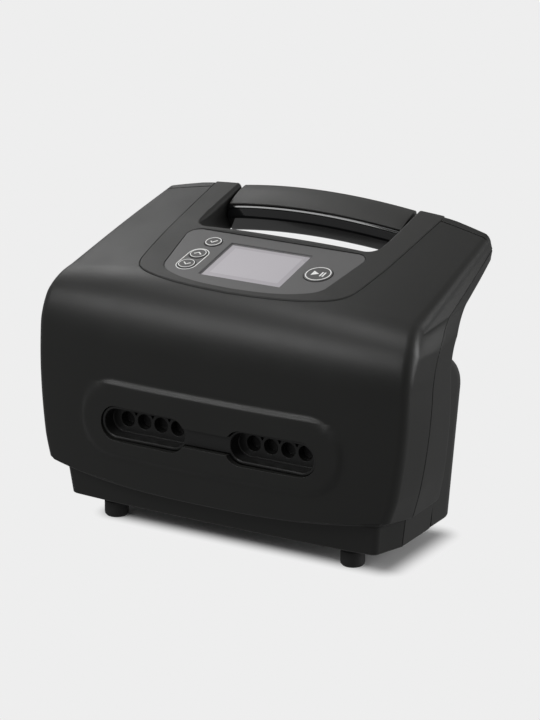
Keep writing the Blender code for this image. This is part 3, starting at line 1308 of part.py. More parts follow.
def make_pump():
    """The linear diaphragm pump: frame, coils, armature, two heads and four rubber mounts."""
    low = Vector((-PUMP_HALF_LENGTH, PUMP_Y - PUMP_HALF_DEPTH, PUMP_Z))
    high = Vector((PUMP_HALF_LENGTH, PUMP_Y + PUMP_HALF_DEPTH, PUMP_Z + PUMP_HEIGHT))
    frame = block("frame", low, high)
    room_low = low + Vector((PUMP_WALL, -OVERRUN, PUMP_WALL))
    room_high = high + Vector((-PUMP_WALL, OVERRUN, -PUMP_WALL))
    cut(frame, block("room", room_low, room_high))
    middle_z = PUMP_Z + PUMP_HEIGHT / 2
    reach = PUMP_HALF_LENGTH + OVERRUN
    cut(frame, rod("bore", ARMATURE_RADIUS + GAP * 2, (-reach, PUMP_Y, middle_z), (reach, PUMP_Y, middle_z), 16))
    finish(frame, "pump_frame", STEEL, 0.45, 0.9)

    for hand, side in (("upper", 1), ("lower", -1)):
        start = middle_z + side * (MAGNET_HALF_HEIGHT + GAP * 2)
        end = middle_z + side * (PUMP_HEIGHT / 2 - PUMP_WALL - GAP)
        core = COIL_RADIUS * COIL_CORE_SHARE
        rim = COIL_RADIUS * COIL_RIM_SHARE
        length = abs(end - start)
        spool = ((core, 0), (core, WALL / 2), (COIL_RADIUS, WALL / 2), (COIL_RADIUS, length - WALL / 2),
                 (rim, length - WALL / 2), (rim, length))
        coil = turned("coil", spool, (0, PUMP_Y, start), (0, 0, side), 12)
        finish(coil, f"pump_coil_{hand}", COPPER, 0.4, 0.6)

    travel = ARMATURE_STROKE + GAP
    rod_reach = PUMP_HALF_LENGTH + HEAD_LENGTH * HEAD_ROD_SHARE
    start = Vector((-rod_reach, PUMP_Y, middle_z))
    armature = rod("armature", ARMATURE_RADIUS, start, (rod_reach, PUMP_Y, middle_z), 16)
    middle = Vector((0, PUMP_Y, middle_z))
    half = Vector((MAGNET_HALF_LENGTH, MAGNET_HALF_DEPTH, MAGNET_HALF_HEIGHT))
    fuse(armature, block("magnet", middle - half, middle + half))
    finish(armature, "pump_armature", STEEL, 0.3, 1.0)

    for hand, side in (("left", -1), ("right", 1)):
        face = side * (PUMP_HALF_LENGTH + GAP)
        inner, edge = HEAD_EDGE_SHARES
        profile = ((HEAD_RADIUS, 0), (HEAD_RADIUS, HEAD_LENGTH * edge), (HEAD_RADIUS * inner, HEAD_LENGTH),
                   (0, HEAD_LENGTH))
        head = turned("head", profile, (face, PUMP_Y, middle_z), (side, 0, 0), 16)
        pocket = HEAD_LENGTH * HEAD_ROD_SHARE + travel * 2
        cut(head, rod("pocket", ARMATURE_RADIUS * HEAD_BORE_SHARE, (face - side * OVERRUN, PUMP_Y, middle_z),
                      (face + side * pocket, PUMP_Y, middle_z), 16))
        along, fore = HEAD_BARB_SHARES
        out = Vector((face + side * HEAD_LENGTH * along, PUMP_Y - HEAD_RADIUS * fore, middle_z))
        end = out - Vector((0, HEAD_RADIUS * (1 - fore) + BARB_LENGTH, 0))
        fuse(head, rod("barb", BARB_RADIUS, out, end, 10))
        finish(head, f"pump_head_{hand}", BLACK, 0.4)

    for fore, dy in (("front", -1), ("rear", 1)):
        for hand, side in (("left", -1), ("right", 1)):
            bottom = PLINTH_Z + WALL + GAP
            low, middle, high = ((PUMP_Z - bottom) * share for share in MOUNT_RISE_SHARES)
            profile = ((MOUNT_RADIUS, 0), (MOUNT_RADIUS, low), (MOUNT_RADIUS * MOUNT_WAIST_SHARE, middle),
                       (MOUNT_RADIUS, high), (MOUNT_RADIUS, PUMP_Z - GAP - bottom))
            place = (side * MOUNT_X, PUMP_Y + dy * MOUNT_Y, bottom)
            finish(turned("mount", profile, place, (0, 0, 1), 10), f"pump_mount_{fore}_{hand}", RUBBER, 0.8)


def make_valves():
    """The valve manifold with its two solenoid valves and the air hoses."""
    middle = Vector((0, MANIFOLD_Y, MANIFOLD_Z))
    half = Vector((MANIFOLD_HALF_WIDTH, MANIFOLD_HALF_DEPTH, MANIFOLD_HALF_HEIGHT))
    manifold = block("manifold", middle - half, middle + half, GAP)
    for side in (-1, 1):
        start = Vector((side * (MANIFOLD_HALF_WIDTH - GAP), MANIFOLD_Y, MANIFOLD_Z))
        fuse(manifold, rod("barb", BARB_RADIUS, start, start + Vector((side * BARB_LENGTH, 0, 0)), 10))
        low = middle + Vector((side * VALVE_X, MANIFOLD_HALF_DEPTH / 2, GAP - MANIFOLD_HALF_HEIGHT))
        fuse(manifold, rod("barb", BARB_RADIUS, low, low - Vector((0, 0, BARB_LENGTH)), 10))
    finish(manifold, "valve_manifold", PALE, 0.45)
    for hand, side in (("left", -1), ("right", 1)):
        x = side * VALVE_X
        bottom = MANIFOLD_Z + MANIFOLD_HALF_HEIGHT + GAP
        outline = rounded(VALVE_HALF_WIDTH, VALVE_HALF_DEPTH, WALL, 3, (x, MANIFOLD_Y))
        valve = prism("valve", outline, bottom, bottom + VALVE_HEIGHT)
        fuse(valve, rod("core", VALVE_HALF_DEPTH * VALVE_CORE_SHARE, (x, MANIFOLD_Y, bottom + VALVE_HEIGHT - GAP),
                        (x, MANIFOLD_Y, bottom + VALVE_HEIGHT + WALL), 12))
        finish(valve, f"valve_{hand}", STEEL, 0.4, 0.7)


def make_hoses():
    """The silicone hoses: pump heads to the manifold, manifold to the sockets."""
    barb_y = SOCKET_FLOOR_Y + SOCKET_BACK + GALLERY_DEPTH
    middle_z = PUMP_Z + PUMP_HEIGHT / 2
    for hand, side in (("left", -1), ("right", 1)):
        start = Vector((side * SOCKET_X, barb_y + GAP, SOCKET_Z))
        end = Vector((side * (MANIFOLD_HALF_WIDTH + GAP), MANIFOLD_Y, MANIFOLD_Z))
        near, far = (BARB_LENGTH * share for share in HOSE_REACH_SHARES)
        corners = (start, start + Vector((0, near, 0)), end + Vector((side * far, 0, 0)), end)
        finish(hose("hose", corners, HOSE_RADIUS, HOSE_BORE), f"socket_hose_{hand}", CLEAR, 0.3)
        face = side * (PUMP_HALF_LENGTH + GAP + HEAD_LENGTH * HEAD_BARB_SHARES[0])
        start = Vector((face, PUMP_Y - HEAD_RADIUS - GAP * 2, middle_z))
        end = Vector((side * VALVE_X, MANIFOLD_Y + MANIFOLD_HALF_DEPTH / 2,
                      MANIFOLD_Z - MANIFOLD_HALF_HEIGHT - GAP))
        forward, down = HOSE_PULL_SHARES
        pulls = (start + Vector((0, FRONT_Y * forward, 0)), end - Vector((0, 0, PUMP_HEIGHT * down)))
        corners = (start, *pulls, end)
        finish(hose("hose", corners, HOSE_RADIUS, HOSE_BORE, 6, 10), f"pump_hose_{hand}", CLEAR, 0.3)


def main():
    """Builds the pump unit in the frame whose origin is under the middle of its outline."""
    for thing in list(bpy.data.objects):
        bpy.data.objects.remove(thing)
    datum = bpy.data.objects.new("datum", None)
    bpy.context.scene.collection.objects.link(datum)
    panel = bpy.data.objects.new("panel_frame", None)
    bpy.context.scene.collection.objects.link(panel)
    panel.parent = datum
    panel.location = (0, PANEL_Y, PANEL_Z)
    panel.rotation_euler = (PANEL_TILT, 0, 0)
    make_shells()
    make_console()
    make_overlay()
    make_display()
    make_buttons()
    make_handle()
    make_port_block()
    make_rear_cover()
    make_inlet()
    make_base()
    make_screws()
    make_boards()
    make_battery()
    make_pump()
    make_valves()
    make_hoses()
    centre_datum(datum)


def centre_datum(datum):
    """Moves the datum so that the outline's middle, front to rear, is over the origin."""
    bpy.context.view_layer.update()
    reach = [(thing.matrix_world @ vert.co).y for thing in bpy.data.objects if thing.type == "MESH"
             for vert in thing.data.vertices]
    datum.location.y -= (min(reach) + max(reach)) / 2


main()
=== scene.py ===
"""Looks of the compression therapy system: finely shaped pieces, finishes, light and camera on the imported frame."""

import logging
from dataclasses import dataclass
from enum import Enum
from math import asin, cos, hypot, pi, radians, sin

import bmesh
import bpy
from mathutils import Matrix, Vector


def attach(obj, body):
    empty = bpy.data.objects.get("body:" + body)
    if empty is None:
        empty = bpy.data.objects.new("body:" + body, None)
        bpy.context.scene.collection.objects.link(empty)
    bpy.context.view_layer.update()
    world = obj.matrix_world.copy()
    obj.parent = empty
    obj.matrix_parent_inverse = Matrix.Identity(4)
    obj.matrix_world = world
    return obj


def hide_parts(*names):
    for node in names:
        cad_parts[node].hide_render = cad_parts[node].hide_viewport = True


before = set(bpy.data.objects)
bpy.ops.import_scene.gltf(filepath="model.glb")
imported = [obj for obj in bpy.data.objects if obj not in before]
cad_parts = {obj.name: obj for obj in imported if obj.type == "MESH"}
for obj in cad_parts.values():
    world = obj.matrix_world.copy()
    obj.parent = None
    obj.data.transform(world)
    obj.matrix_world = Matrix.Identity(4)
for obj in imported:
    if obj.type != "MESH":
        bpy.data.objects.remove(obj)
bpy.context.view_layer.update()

LOG = logging.getLogger("scene")
Thing = bpy.types.Object
Ring = list[Vector]
Pair = tuple[float, float]
Triple = tuple[float, float, float]
Pairs = tuple[Pair, ...]
Outline = list[Pair]
Faces = list[tuple[int, ...]]

# The row frame's Y for a place measured in the photograph's own frame
DATUM_Y = 0.004741
UP = Vector((0, 0, 1))
REARWARD = Vector((0, 1, 0))


class Side(Enum):
    """Left and right as seen from the front."""

    LEFT = -1
    RIGHT = 1


class Icon(Enum):
    """What is printed on a key."""

    CHECK = "check"
    UP = "up"
    DOWN = "down"
    PLAY_PAUSE = "play_pause"


@dataclass(frozen=True)
class BodySizes:
    """The housing's driving sizes, in metres, and its side-view chains as (y, z) places from foot to tip."""

    wall: float = 0.0024
    seam: float = 0.0004
    edge: float = 0.0005
    front_chain: Pairs = ((-0.075, 0.033), (-0.0695, 0.126), (-0.042, 0.1640), (0.072, 0.194))
    parting_chain: Pairs = ((-0.043, 0.033), (-0.0386, 0.122), (-0.008, 0.1603), (0.072, 0.1855))
    rear_chain: Pairs = ((-0.003, 0.033), (-0.010, 0.124), (0.0185, 0.160), (0.072, 0.1765))
    bend_pull: float = 0.62
    tip_band: float = 0.0052
    tip_step: float = 0.0236
    skirt_z: float = 0.033
    skirt_lip: float = 0.0015
    corner_lift: float = 0.008
    side_drop: float = 0.003
    foot_half_width: float = 0.1255
    shoulder_half_width: float = 0.1362
    neck_half_width: float = 0.1228
    side_share: float = 0.97
    neck_power: float = 1.15
    flare: float = 0.0012
    front_bow: float = 0.011
    top_crown: float = 0.0093
    tip_crown: float = 0.007
    crown_power: float = 2.6
    corner_rounds: Pairs = ((0.0, 0.0050), (3.0, 0.0050), (8.0, 0.0080), (12.0, 0.0070), (17.0, 0.0045))
    rear_round: float = 0.003
    tip_round: float = 0.0012
    tip_start: float = 13.5
    tip_inner: Pair = (0.0860, 0.0022)
    tip_outer: Pair = (0.1220, -0.0032)
    tip_fall: float = 0.0010
    tip_line: Pairs = ((0.0790, 0.0744), (0.1400, -0.135))
    tip_narrow: float = 0.0014
    tip_run_out: float = 0.004
    skirt_round: float = 0.0012
    plinth_z: float = 0.0155
    plinth_edge: float = 0.0006
    plinth_front_y: float = -0.066
    plinth_bow: float = 0.003
    plinth_half_width: float = 0.114
    plinth_flare: float = 0.006
    plinth_round: float = 0.0045
    plinth_draft: float = 0.002
    parting_foot_y: float = -0.043
    rear_foot_y: float = -0.003
    boss_half_width: float = 0.097
    boss_half_height: float = 0.0265
    boss_z: float = 0.0783
    boss_height: float = 0.002
    boss_bevel: float = 0.0042


@dataclass(frozen=True)
class Steps:
    """How finely the housing is divided, and the CAD's own station numbers; runs are (first, step, count)."""

    lower: int = 4
    bend: int = 8
    top: int = 5
    round: int = 7
    flat: int = 14
    search: int = 40
    share_runs: tuple[Triple, ...] = ((0.0, 0.03, 16), (0.48, 0.0085, 32), (0.752, 0.248 / 9, 10))
    station_runs: tuple[Triple, ...] = ((0.06, 0.08, 2), (0.25, 0.15, 3), (0.70, 0.052, 10), (1.3, 0.16, 10),
                                        (2.9, 0.052, 9), (3.45, 0.15, 2), (3.8, 0.2, 2), (4 + 8 / 34, 8 / 34, 34),
                                        (12 + 4.7 / 16, 4.7 / 16, 16))

    @staticmethod
    def marks(runs: tuple[Triple, ...]) -> list[float]:
        """The marks that runs of (first, step, count) stand for."""
        return [first + step * k for first, step, count in runs for k in range(count)]


@dataclass(frozen=True)
class CoverSizes:
    """The rear cover's sizes, vents and wells, in metres."""

    low: float = 0.0155
    high: float = 0.104
    crown: float = 0.027
    half_width: float = 0.1195
    draft: float = 0.005
    back: float = 0.036
    lean: float = 0.004
    front: Pair = (-0.003, -0.010)
    front_z: Pair = (0.033, 0.124)
    gap: float = 0.0003
    lip: float = 0.0024
    corner: float = 0.020
    edges: Pairs = ((0.0, 0.0010), (0.0003, 0.0003), (0.0010, 0.0))
    vent_half: Pair = (0.0015, 0.015)
    vent_round: float = 0.0014
    vent_z: float = 0.072
    vent_middle: float = 0.033
    vent_pitch: float = 0.0065
    vents: int = 8
    vent_levels: Pairs = ((0.016, 0), (0.0365, 0), (0.0386, -0.0005), (0.05, -0.0005))
    well_radius: float = 0.0031
    tube_radius: float = 0.0052
    well_x: float = 0.096
    well_z: Pair = (0.056, 0.093)
    inlet: Pair = (0.078, 0.04)
    inlet_half: Pair = (0.0128, 0.0088)
    inlet_corner: float = 0.0040
    hole_levels: Pairs = ((0.016, 0), (0.05, 0))
    tube_levels: Pairs = ((-0.003, 0), (0.034, 0))
    bore_levels: Pairs = ((-0.01, 0), (0.05, 0))
    window_half: Pair = (0.070, 0.033)
    window_round: float = 0.005
    window_z: float = 0.059
    window_levels: Pairs = ((-0.02, 0), (0.0066, 0))


@dataclass(frozen=True)
class PanelSizes:
    """The control panel's sizes in its own tilted frame, in metres."""

    y: float = -0.0217
    z: float = 0.1774
    tilt: float = radians(13.6)
    half_width: float = 0.0655
    front_half_width: float = 0.0560
    rear: float = 0.0325
    front: float = 0.0330
    corner: float = 0.0085
    thick: float = 0.0012
    window_half_width: float = 0.0300
    window_half_height: float = 0.02175
    window_round: float = 0.0010
    glass_depth: float = 0.0009
    gap: float = 0.0003
    tray_mouth: Pairs = ((0.0004, 0), (0.0064, -0.0064))
    window_seat: float = 0.0032
    seat_round: float = 0.0009
    key_clear: float = 0.0006
    through: Pairs = ((-0.03, 0), (0.03, 0))
    bow: Pairs = ((0.0, 0.0), (0.36, 0.03), (0.66, 0.11), (0.86, 0.23), (0.985, 0.36), (1.05, 0.52))

    def outline(self, grow: float) -> "Outline":
        """The overlay's edge: straight at the rear, bowed and narrower toward the front.

        Args:
            grow: how far outside the overlay the outline runs.

        Returns:
            The closed outline.
        """
        front = Outlines.spline([(self.front_half_width * a, -self.front * (1 - b)) for a, b in self.bow], 6)
        middle = (self.half_width - self.corner, self.rear - self.corner)
        side = Outlines.arc(middle, self.corner, 0, pi / 2, 12)
        outline = Outlines.mirrored(front + side + [(0, self.rear)])
        return Outlines.grow(outline, grow) if grow else outline


@dataclass(frozen=True)
class ConsoleSizes:
    """The console's sizes, in metres; its edge is given in shares of the half width and of the length."""

    front_y: float = -0.0575
    tip_y: float = 0.0708
    length: float = 0.131
    half_width: float = 0.0860
    proud: float = 0.0005
    thick: float = 0.0040
    edge: float = 0.0005
    lip_reach: float = 0.0120
    lip_end: float = 0.0016
    lip_inset: float = 0.0001
    lip_draft: float = 0.0006
    lip_clear: float = 0.0002
    lip_sunk: float = 0.001
    wall_end: float = 0.002
    groove_end: float = 0.0720
    fillet: Pair = (0.0018, 0.0036)
    fillet_run: Pair = (0.0160, 0.0340)
    edge_shares: Pairs = ((0.00, 0.000), (0.24, 0.005), (0.46, 0.018), (0.64, 0.040), (0.76, 0.066), (0.84, 0.100),
                          (0.885, 0.140), (0.912, 0.195), (0.934, 0.300), (0.962, 0.480), (0.980, 0.700), (1.0, 1.0))
    slab_start: float = 7.2
    slab_past: float = 0.75
    slab_share: float = 0.8
    slab_rows: int = 56
    slab_columns: int = 64
    through: Pairs = ((0.126, 0), (0.25, 0))
    past: float = 0.02


@dataclass(frozen=True)
class OpeningSizes:
    """The hand opening's sizes, in metres."""

    half_width: float = 0.0663
    front_y: float = 0.0145
    corner: float = 0.0080
    wall: float = 0.0024
    clear: float = 0.00275
    past_y: float = 0.09

    def outline(self, grow: float, tip_y: float) -> "Outline":
        """The opening seen from above, open toward the tip, from the left arm round to the right.

        Args:
            grow: how far outside the opening the outline runs.
            tip_y: where both arms end.

        Returns:
            The open outline.
        """
        radius = self.corner + grow
        middle = (self.half_width - self.corner, self.front_y + self.corner)
        front = [(middle[0] * k / 8, self.front_y - grow) for k in range(8)]
        side = [(middle[0] + radius, middle[1] + (tip_y - middle[1]) * k / 12) for k in range(1, 13)]
        half = front + Outlines.arc(middle, radius, -pi / 2, 0, 12) + side
        return [(-x, y) for x, y in reversed(half[1:])] + half


@dataclass(frozen=True)
class HandleSizes:
    """The handle's sizes, in metres; the bead's section is given in its own size."""

    y: float = 0.0660
    z: float = 0.1925
    rise: float = 0.0062
    bow: float = 0.0055
    cap_depth: float = 0.0225
    cap_thick: float = 0.0055
    grip_depth: float = 0.0170
    gap: float = 0.0003
    cap_gap: float = 0.0014
    cap_front: float = 0.0014
    cap_drop: float = 0.0011
    cap_crown: float = 0.0011
    cap_edge: float = 0.0013
    cap_low: Triple = (0.0004, 0.0006, 0.0003)
    grip_thick: float = 0.0200
    bead: float = 0.0010
    bead_section: Pairs = ((0.00, 0.00), (-0.15, -0.04), (-0.34, -0.14), (-0.45, -0.265), (-1.04, -0.945),
                           (-1.14, -1.08), (-1.20, -1.30), (-1.12, -1.60), (-0.85, -1.85))
    brow: float = 0.0036
    brow_drop: float = 0.0062
    brow_section: Pairs = ((0.0003, 0.0004), (0.0, -0.0002), (-0.0001, -0.0009), (0.0001, -0.0018))
    foot_back: float = 0.0002
    foot_round: Pair = (0.0042, 0.0030)
    heel_round: Pair = (0.0040, 0.0090)
    back_round: float = 0.0012
    end_soft: float = 0.0008
    pin_y: float = 0.0610
    pin_drop: float = 0.0100
    pin_inset: float = 0.0024
    hole_start: float = 0.002
    pin_hole: Pairs = ((0.0038, 0), (0.0038, 0.0072))
    pin: Pairs = ((0.0035, 0), (0.0035, 0.0117), (0.0031, 0.0123), (0.0017, 0.0123), (0.0017, 0.0040))


@dataclass(frozen=True)
class PortSizes:
    """The port block's sizes, in metres."""

    x: float = 0.0468
    z: float = 0.0766
    half_width: float = 0.0300
    half_height: float = 0.0092
    rim: float = 0.0020
    rim_y: float = -0.0815
    floor_y: float = -0.0715
    flange_y: float = -0.0773
    back: float = 0.0030
    pitch: float = 0.0125
    outlet_radius: float = 0.00485
    outlet_taper: float = 0.93
    outlets: int = 4
    gallery_depth: float = 0.0090
    gallery_wall: float = 0.0024
    bridge_half_height: float = 0.0058
    bridge_y: float = -0.0862
    bridge_corner: float = 0.0008
    bridge_edge: Pairs = ((0.0, 0.0010), (0.0003, 0.0003), (0.0010, 0))
    bridge_sunk: float = 0.0025
    rim_width: float = 0.0011
    rim_edge: Pairs = ((0.0, 0.0007), (0.0002, 0.0002), (0.0007, 0))
    hollow: Triple = (0.002, 0.0004, 0.004)
    hollow_flare: float = 0.0024
    mouth_edge: Pairs = ((-0.002, -0.0021), (0.0005, 0.0))
    floor_edge: Pairs = ((-0.0004, 0.0002), (0.0, 0.0006))
    outlet_edge: Pairs = ((0.0009, -0.0005), (0.0001, 0.0003), (0.0, 0.0006))
    seam: float = 0.0002
    notch: Pair = (0.0007, 0.0021)
    notch_half: float = 0.0023
    notch_shares: Pair = (0.36, 0.80)
    gallery_soft: float = 0.0006
    gap: float = 0.0003
    hole_levels: Pairs = ((-0.2, 0), (-0.0715, 0))
    seal_depth: float = 0.0062
    seal: Pairs = ((-0.0006, 0), (-0.0004, 0.0003), (0.0002, 0.0003), (0.0002, 0.0016))
    barb: Pairs = ((0.0026, 0), (0.0019, 0.0004), (0.0019, 0.0016), (0.0022, 0.0018), (0.0017, 0.0032),
                   (0.0019, 0.0034), (0.0016, 0.0047), (0.0009, 0.0047), (0.0009, 0.001))

    def outline(self, grow: float) -> "Outline":
        """Two pills joined by a narrower bridge, seen from the front.

        Args:
            grow: how far outside the block the outline runs.

        Returns:
            The closed outline.
        """
        radius = self.half_height + self.rim + grow
        bridge = self.bridge_half_height + grow
        near = (self.x - self.half_width + self.half_height, self.z)
        far = (self.x + self.half_width - self.half_height, self.z)
        start = asin(bridge / radius)
        half = [(0, self.z - bridge)] + Outlines.arc(near, radius, pi + start, 3 * pi / 2, 8)
        half += Outlines.arc(far, radius, -pi / 2, pi / 2, 28) + Outlines.arc(near, radius, pi / 2, pi - start, 8)
        return Outlines.mirrored(half + [(0, self.z + bridge)])


@dataclass(frozen=True)
class FeetSizes:
    """The feet's sizes, in metres; the rim is in shares of the chamfer."""

    radius: float = 0.0080
    chamfer: float = 0.0020
    x: float = 0.0885
    front_y: float = -0.0500
    rear_y: float = 0.0180
    top: float = 0.0162
    hollow: Pairs = ((0, 0.0016), (0.0030, 0.0016), (0.0033, 0.0006), (0.0036, 0.0))
    rim: Pairs = ((1.0, 0.0), (0.6, 0.0003), (0.1, 0.0015))
    groove: Pairs = ((0, 0.0028), (0, 0.0105), (0.0004, 0.0109), (0.0004, 0.0121), (0, 0.0125))


@dataclass(frozen=True)
class ScrewSizes:
    """The screws' sizes and places, in metres."""

    radius: float = 0.0028
    head: float = 0.0018
    shank: float = 0.0014
    core: float = 0.82
    dome: Pairs = ((0, 1), (0.62, 1), (0.88, 0.78), (1, 0.4))
    length: float = 0.0080
    turns: int = 8
    slot_half: float = 0.00035
    slot_share: float = 0.55
    seat: float = 0.0050
    gap: float = 0.0003
    pin_seat: float = 0.0075
    cover_x: float = 0.0960
    cover_z: Pair = (0.0560, 0.0930)
    base_front: Pair = (0.1102, -0.0520)
    base_rear: Pair = (0.1138, -0.0150)


@dataclass(frozen=True)
class Key:
    """One key on the panel: place, radius and print."""

    node: str
    x: float
    y: float
    radius: float
    icon: Icon


KEYS = (
    Key("select_button", -0.0420, 0.0186, 0.0058, Icon.CHECK),
    Key("up_button", -0.0434, 0.0014, 0.0058, Icon.UP),
    Key("down_button", -0.0439, -0.0127, 0.0058, Icon.DOWN),
    Key("start_button", 0.0455, 0.0005, 0.0094, Icon.PLAY_PAUSE),
)


@dataclass(frozen=True)
class Sizes:
    """The sizes of every sub-assembly."""

    body: BodySizes = BodySizes()
    steps: Steps = Steps()
    cover: CoverSizes = CoverSizes()
    panel: PanelSizes = PanelSizes()
    console: ConsoleSizes = ConsoleSizes()
    opening: OpeningSizes = OpeningSizes()
    handle: HandleSizes = HandleSizes()
    port: PortSizes = PortSizes()
    feet: FeetSizes = FeetSizes()
    screws: ScrewSizes = ScrewSizes()


class Mesher:
    """Builds mesh objects from rings, outlines and profiles."""

    sharp = radians(35)

    @staticmethod
    def add(name: str, verts: Ring, faces: Faces) -> Thing:
        """Adds a mesh object with its faces turned outward.

        Args:
            name: the object's name.
            verts: its points.
            faces: its faces as point numbers.

        Returns:
            The linked object.
        """
        data = bpy.data.meshes.new(name)
        data.from_pydata([tuple(v) for v in verts], [], faces)
        mesh = bmesh.new()
        mesh.from_mesh(data)
        bmesh.ops.recalc_face_normals(mesh, faces=mesh.faces)
        if mesh.calc_volume(signed=True) < 0:
            bmesh.ops.reverse_faces(mesh, faces=mesh.faces)
        mesh.to_mesh(data)
        mesh.free()
        return Mesher.soften(Mesher.link(name, data))

    @staticmethod
    def link(name: str, data: bpy.types.ID) -> Thing:
        """Makes an object of mesh, light or camera data and puts it into the scene."""
        thing = bpy.data.objects.new(name, data)
        bpy.context.scene.collection.objects.link(thing)
        return thing

    @staticmethod
    def soften(thing: Thing) -> Thing:
        """Shades an object smooth up to the class's angle and returns it."""
        thing.data.shade_smooth()
        thing.data.set_sharp_from_angle(angle=Mesher.sharp)
        return thing

    @staticmethod
    def bands(rows: int, count: int, joined: bool) -> Faces:
        """The faces between neighbouring rings.

        Args:
            rows: how many rings there are.
            count: how many points a ring has.
            joined: whether the last ring joins the first.

        Returns:
            The faces, ring by ring.
        """
        faces = []
        for row in range(rows if joined else rows - 1):
            base, after = row * count, (row + 1) % rows * count
            for k in range(count):
                j = (k + 1) % count
                faces.append((base + k, base + j, after + j, after + k))
        return faces

    @staticmethod
    def layers(outer: list[Ring], inner: list[Ring], edged: bool) -> tuple[Ring, Faces]:
        """Two grids of equal size that face away from each other.

        Args:
            outer: the rows of the first grid.
            inner: the rows of the second one.
            edged: whether the rows' ends are joined from grid to grid.

        Returns:
            The points of both and their faces.
        """
        count, size = len(outer[0]), len(outer) * len(outer[0])
        faces = []
        for row in range(len(outer) - 1):
            start = row * count
            for a in range(start, start + count - 1):
                b = a + size
                faces.append((a, a + 1, a + count + 1, a + count))
                faces.append((b, b + count, b + count + 1, b + 1))
            for a in (start, start + count - 1) if edged else ():
                faces.append((a, a + count, a + count + size, a + size))
        return [p for row in outer + inner for p in row], faces

    @staticmethod
    def lids(first: int, count: int, size: int) -> Faces:
        """Closes one end of two edged layers: a lid on each and the strip between their ends."""
        last = first + count
        return [tuple(range(first, last)), tuple(range(first + size, last + size)),
                (first, last - 1, last - 1 + size, first + size)]

    @staticmethod
    def skin(name: str, rings: list[Ring]) -> Thing:
        """A body through closed rings of equal count, capped at both ends.

        Args:
            name: the object's name.
            rings: the rings in order.

        Returns:
            The body.
        """
        count = len(rings[0])
        verts = [p for ring in rings for p in ring]
        faces = Mesher.bands(len(rings), count, False)
        faces += [tuple(reversed(range(count))), tuple(range(len(verts) - count, len(verts)))]
        return Mesher.add(name, verts, faces)

    @staticmethod
    def hoop(name: str, rings: list[Ring]) -> Thing:
        """A closed hoop through rings of equal count, the last joined to the first."""
        faces = Mesher.bands(len(rings), len(rings[0]), True)
        return Mesher.add(name, [p for ring in rings for p in ring], faces)

    @staticmethod
    def prism(name: str, outline: Outline, levels: Pairs, axis: str = "Z") -> Thing:
        """A prism through an outline with an inset at each level.

        Args:
            name: the object's name.
            outline: closed counter-clockwise outline.
            levels: (height, inset) pairs from low to high.
            axis: the world axis the heights run along: Z or Y.

        Returns:
            The prism.
        """
        rings = []
        for height, inset in levels:
            ring = Outlines.grow(outline, -inset) if inset else outline
            rings.append([Vector((a, b, height) if axis == "Z" else (a, height, b)) for a, b in ring])
        return Mesher.skin(name, rings)

    @staticmethod
    def lathe(name: str, profile: Pairs, place: Vector, toward: Vector = UP, sides: int = 48) -> Thing:
        """Turns a profile of (radius, height) pairs round an axis.

        Args:
            name: the object's name.
            profile: pairs from one end to the other; a zero radius closes on the axis.
            place: where height zero lies.
            toward: the axis's direction.
            sides: how many sides the turned body has.

        Returns:
            The turned body.
        """
        matrix = Matrix.Translation(place) @ UP.rotation_difference(toward.normalized()).to_matrix().to_4x4()
        verts, rows, faces = [], [], []
        for radius, height in profile:
            if radius <= 0:
                rows.append([len(verts)])
                verts.append(matrix @ Vector((0, 0, height)))
                continue
            rows.append(list(range(len(verts), len(verts) + sides)))
            verts += [matrix @ Vector((a, b, height)) for a, b in Outlines.circle(radius, sides)]
        for low, high in zip(rows, rows[1:]):
            for k in range(sides):
                after = (k + 1) % sides
                if len(low) == 1:
                    faces.append((low[0], high[after], high[k]))
                elif len(high) == 1:
                    faces.append((low[k], low[after], high[0]))
                else:
                    faces.append((low[k], low[after], high[after], high[k]))
        if len(rows[0]) > 1:
            faces.append(tuple(reversed(rows[0])))
        if len(rows[-1]) > 1:
            faces.append(tuple(rows[-1]))
        return Mesher.add(name, verts, faces)

    @staticmethod
    def sweep(name: str, path: Ring, section: Outline, closed: bool, ups: Ring) -> Thing:
        """Runs a small section along a path.

        Args:
            name: the object's name.
            path: the points of the path.
            section: the section's points as (across, up) offsets.
            closed: whether the path joins its own start.
            ups: the up direction at each point.

        Returns:
            The swept body.
        """
        count = len(path)
        rings = []
        for k, point in enumerate(path):
            before = path[k - 1] if closed or k else path[0]
            after = path[(k + 1) % count] if closed or k < count - 1 else path[-1]
            along = (after - before).normalized()
            across = along.cross(ups[k]).normalized()
            up = across.cross(along).normalized()
            rings.append([point + across * a + up * b for a, b in section])
        return Mesher.hoop(name, rings) if closed else Mesher.skin(name, rings)

    @staticmethod
    def slab(name: str, top: list[Ring], under: list[Ring]) -> Thing:
        """A closed body between two grids of equal size.

        Args:
            name: the object's name.
            top: the rows of the upper grid.
            under: the rows of the lower one.

        Returns:
            The body.
        """
        rows, columns = len(top), len(top[0])
        size = rows * columns
        verts, faces = Mesher.layers(top, under, False)
        rim = list(range(columns)) + [r * columns + columns - 1 for r in range(1, rows)]
        rim += [(rows - 1) * columns + k for k in range(columns - 2, -1, -1)]
        rim += [r * columns for r in range(rows - 2, 0, -1)]
        faces += [(a, b, b + size, a + size) for a, b in zip(rim, rim[1:] + rim[:1])]
        return Mesher.add(name, verts, faces)

    @staticmethod
    def combine(target: Thing, tool: Thing, operation: str) -> Thing:
        """Applies one exact Boolean and removes the tool.

        Args:
            target: the body that stays.
            tool: the other body.
            operation: UNION, INTERSECT or DIFFERENCE.

        Returns:
            The target.
        """
        step = target.modifiers.new("join", "BOOLEAN")
        step.operation = operation
        step.solver = "EXACT"
        step.object = tool
        bpy.context.view_layer.update()
        graph = bpy.context.evaluated_depsgraph_get()
        target.data = bpy.data.meshes.new_from_object(target.evaluated_get(graph))
        target.modifiers.clear()
        bpy.data.objects.remove(tool)
        return target

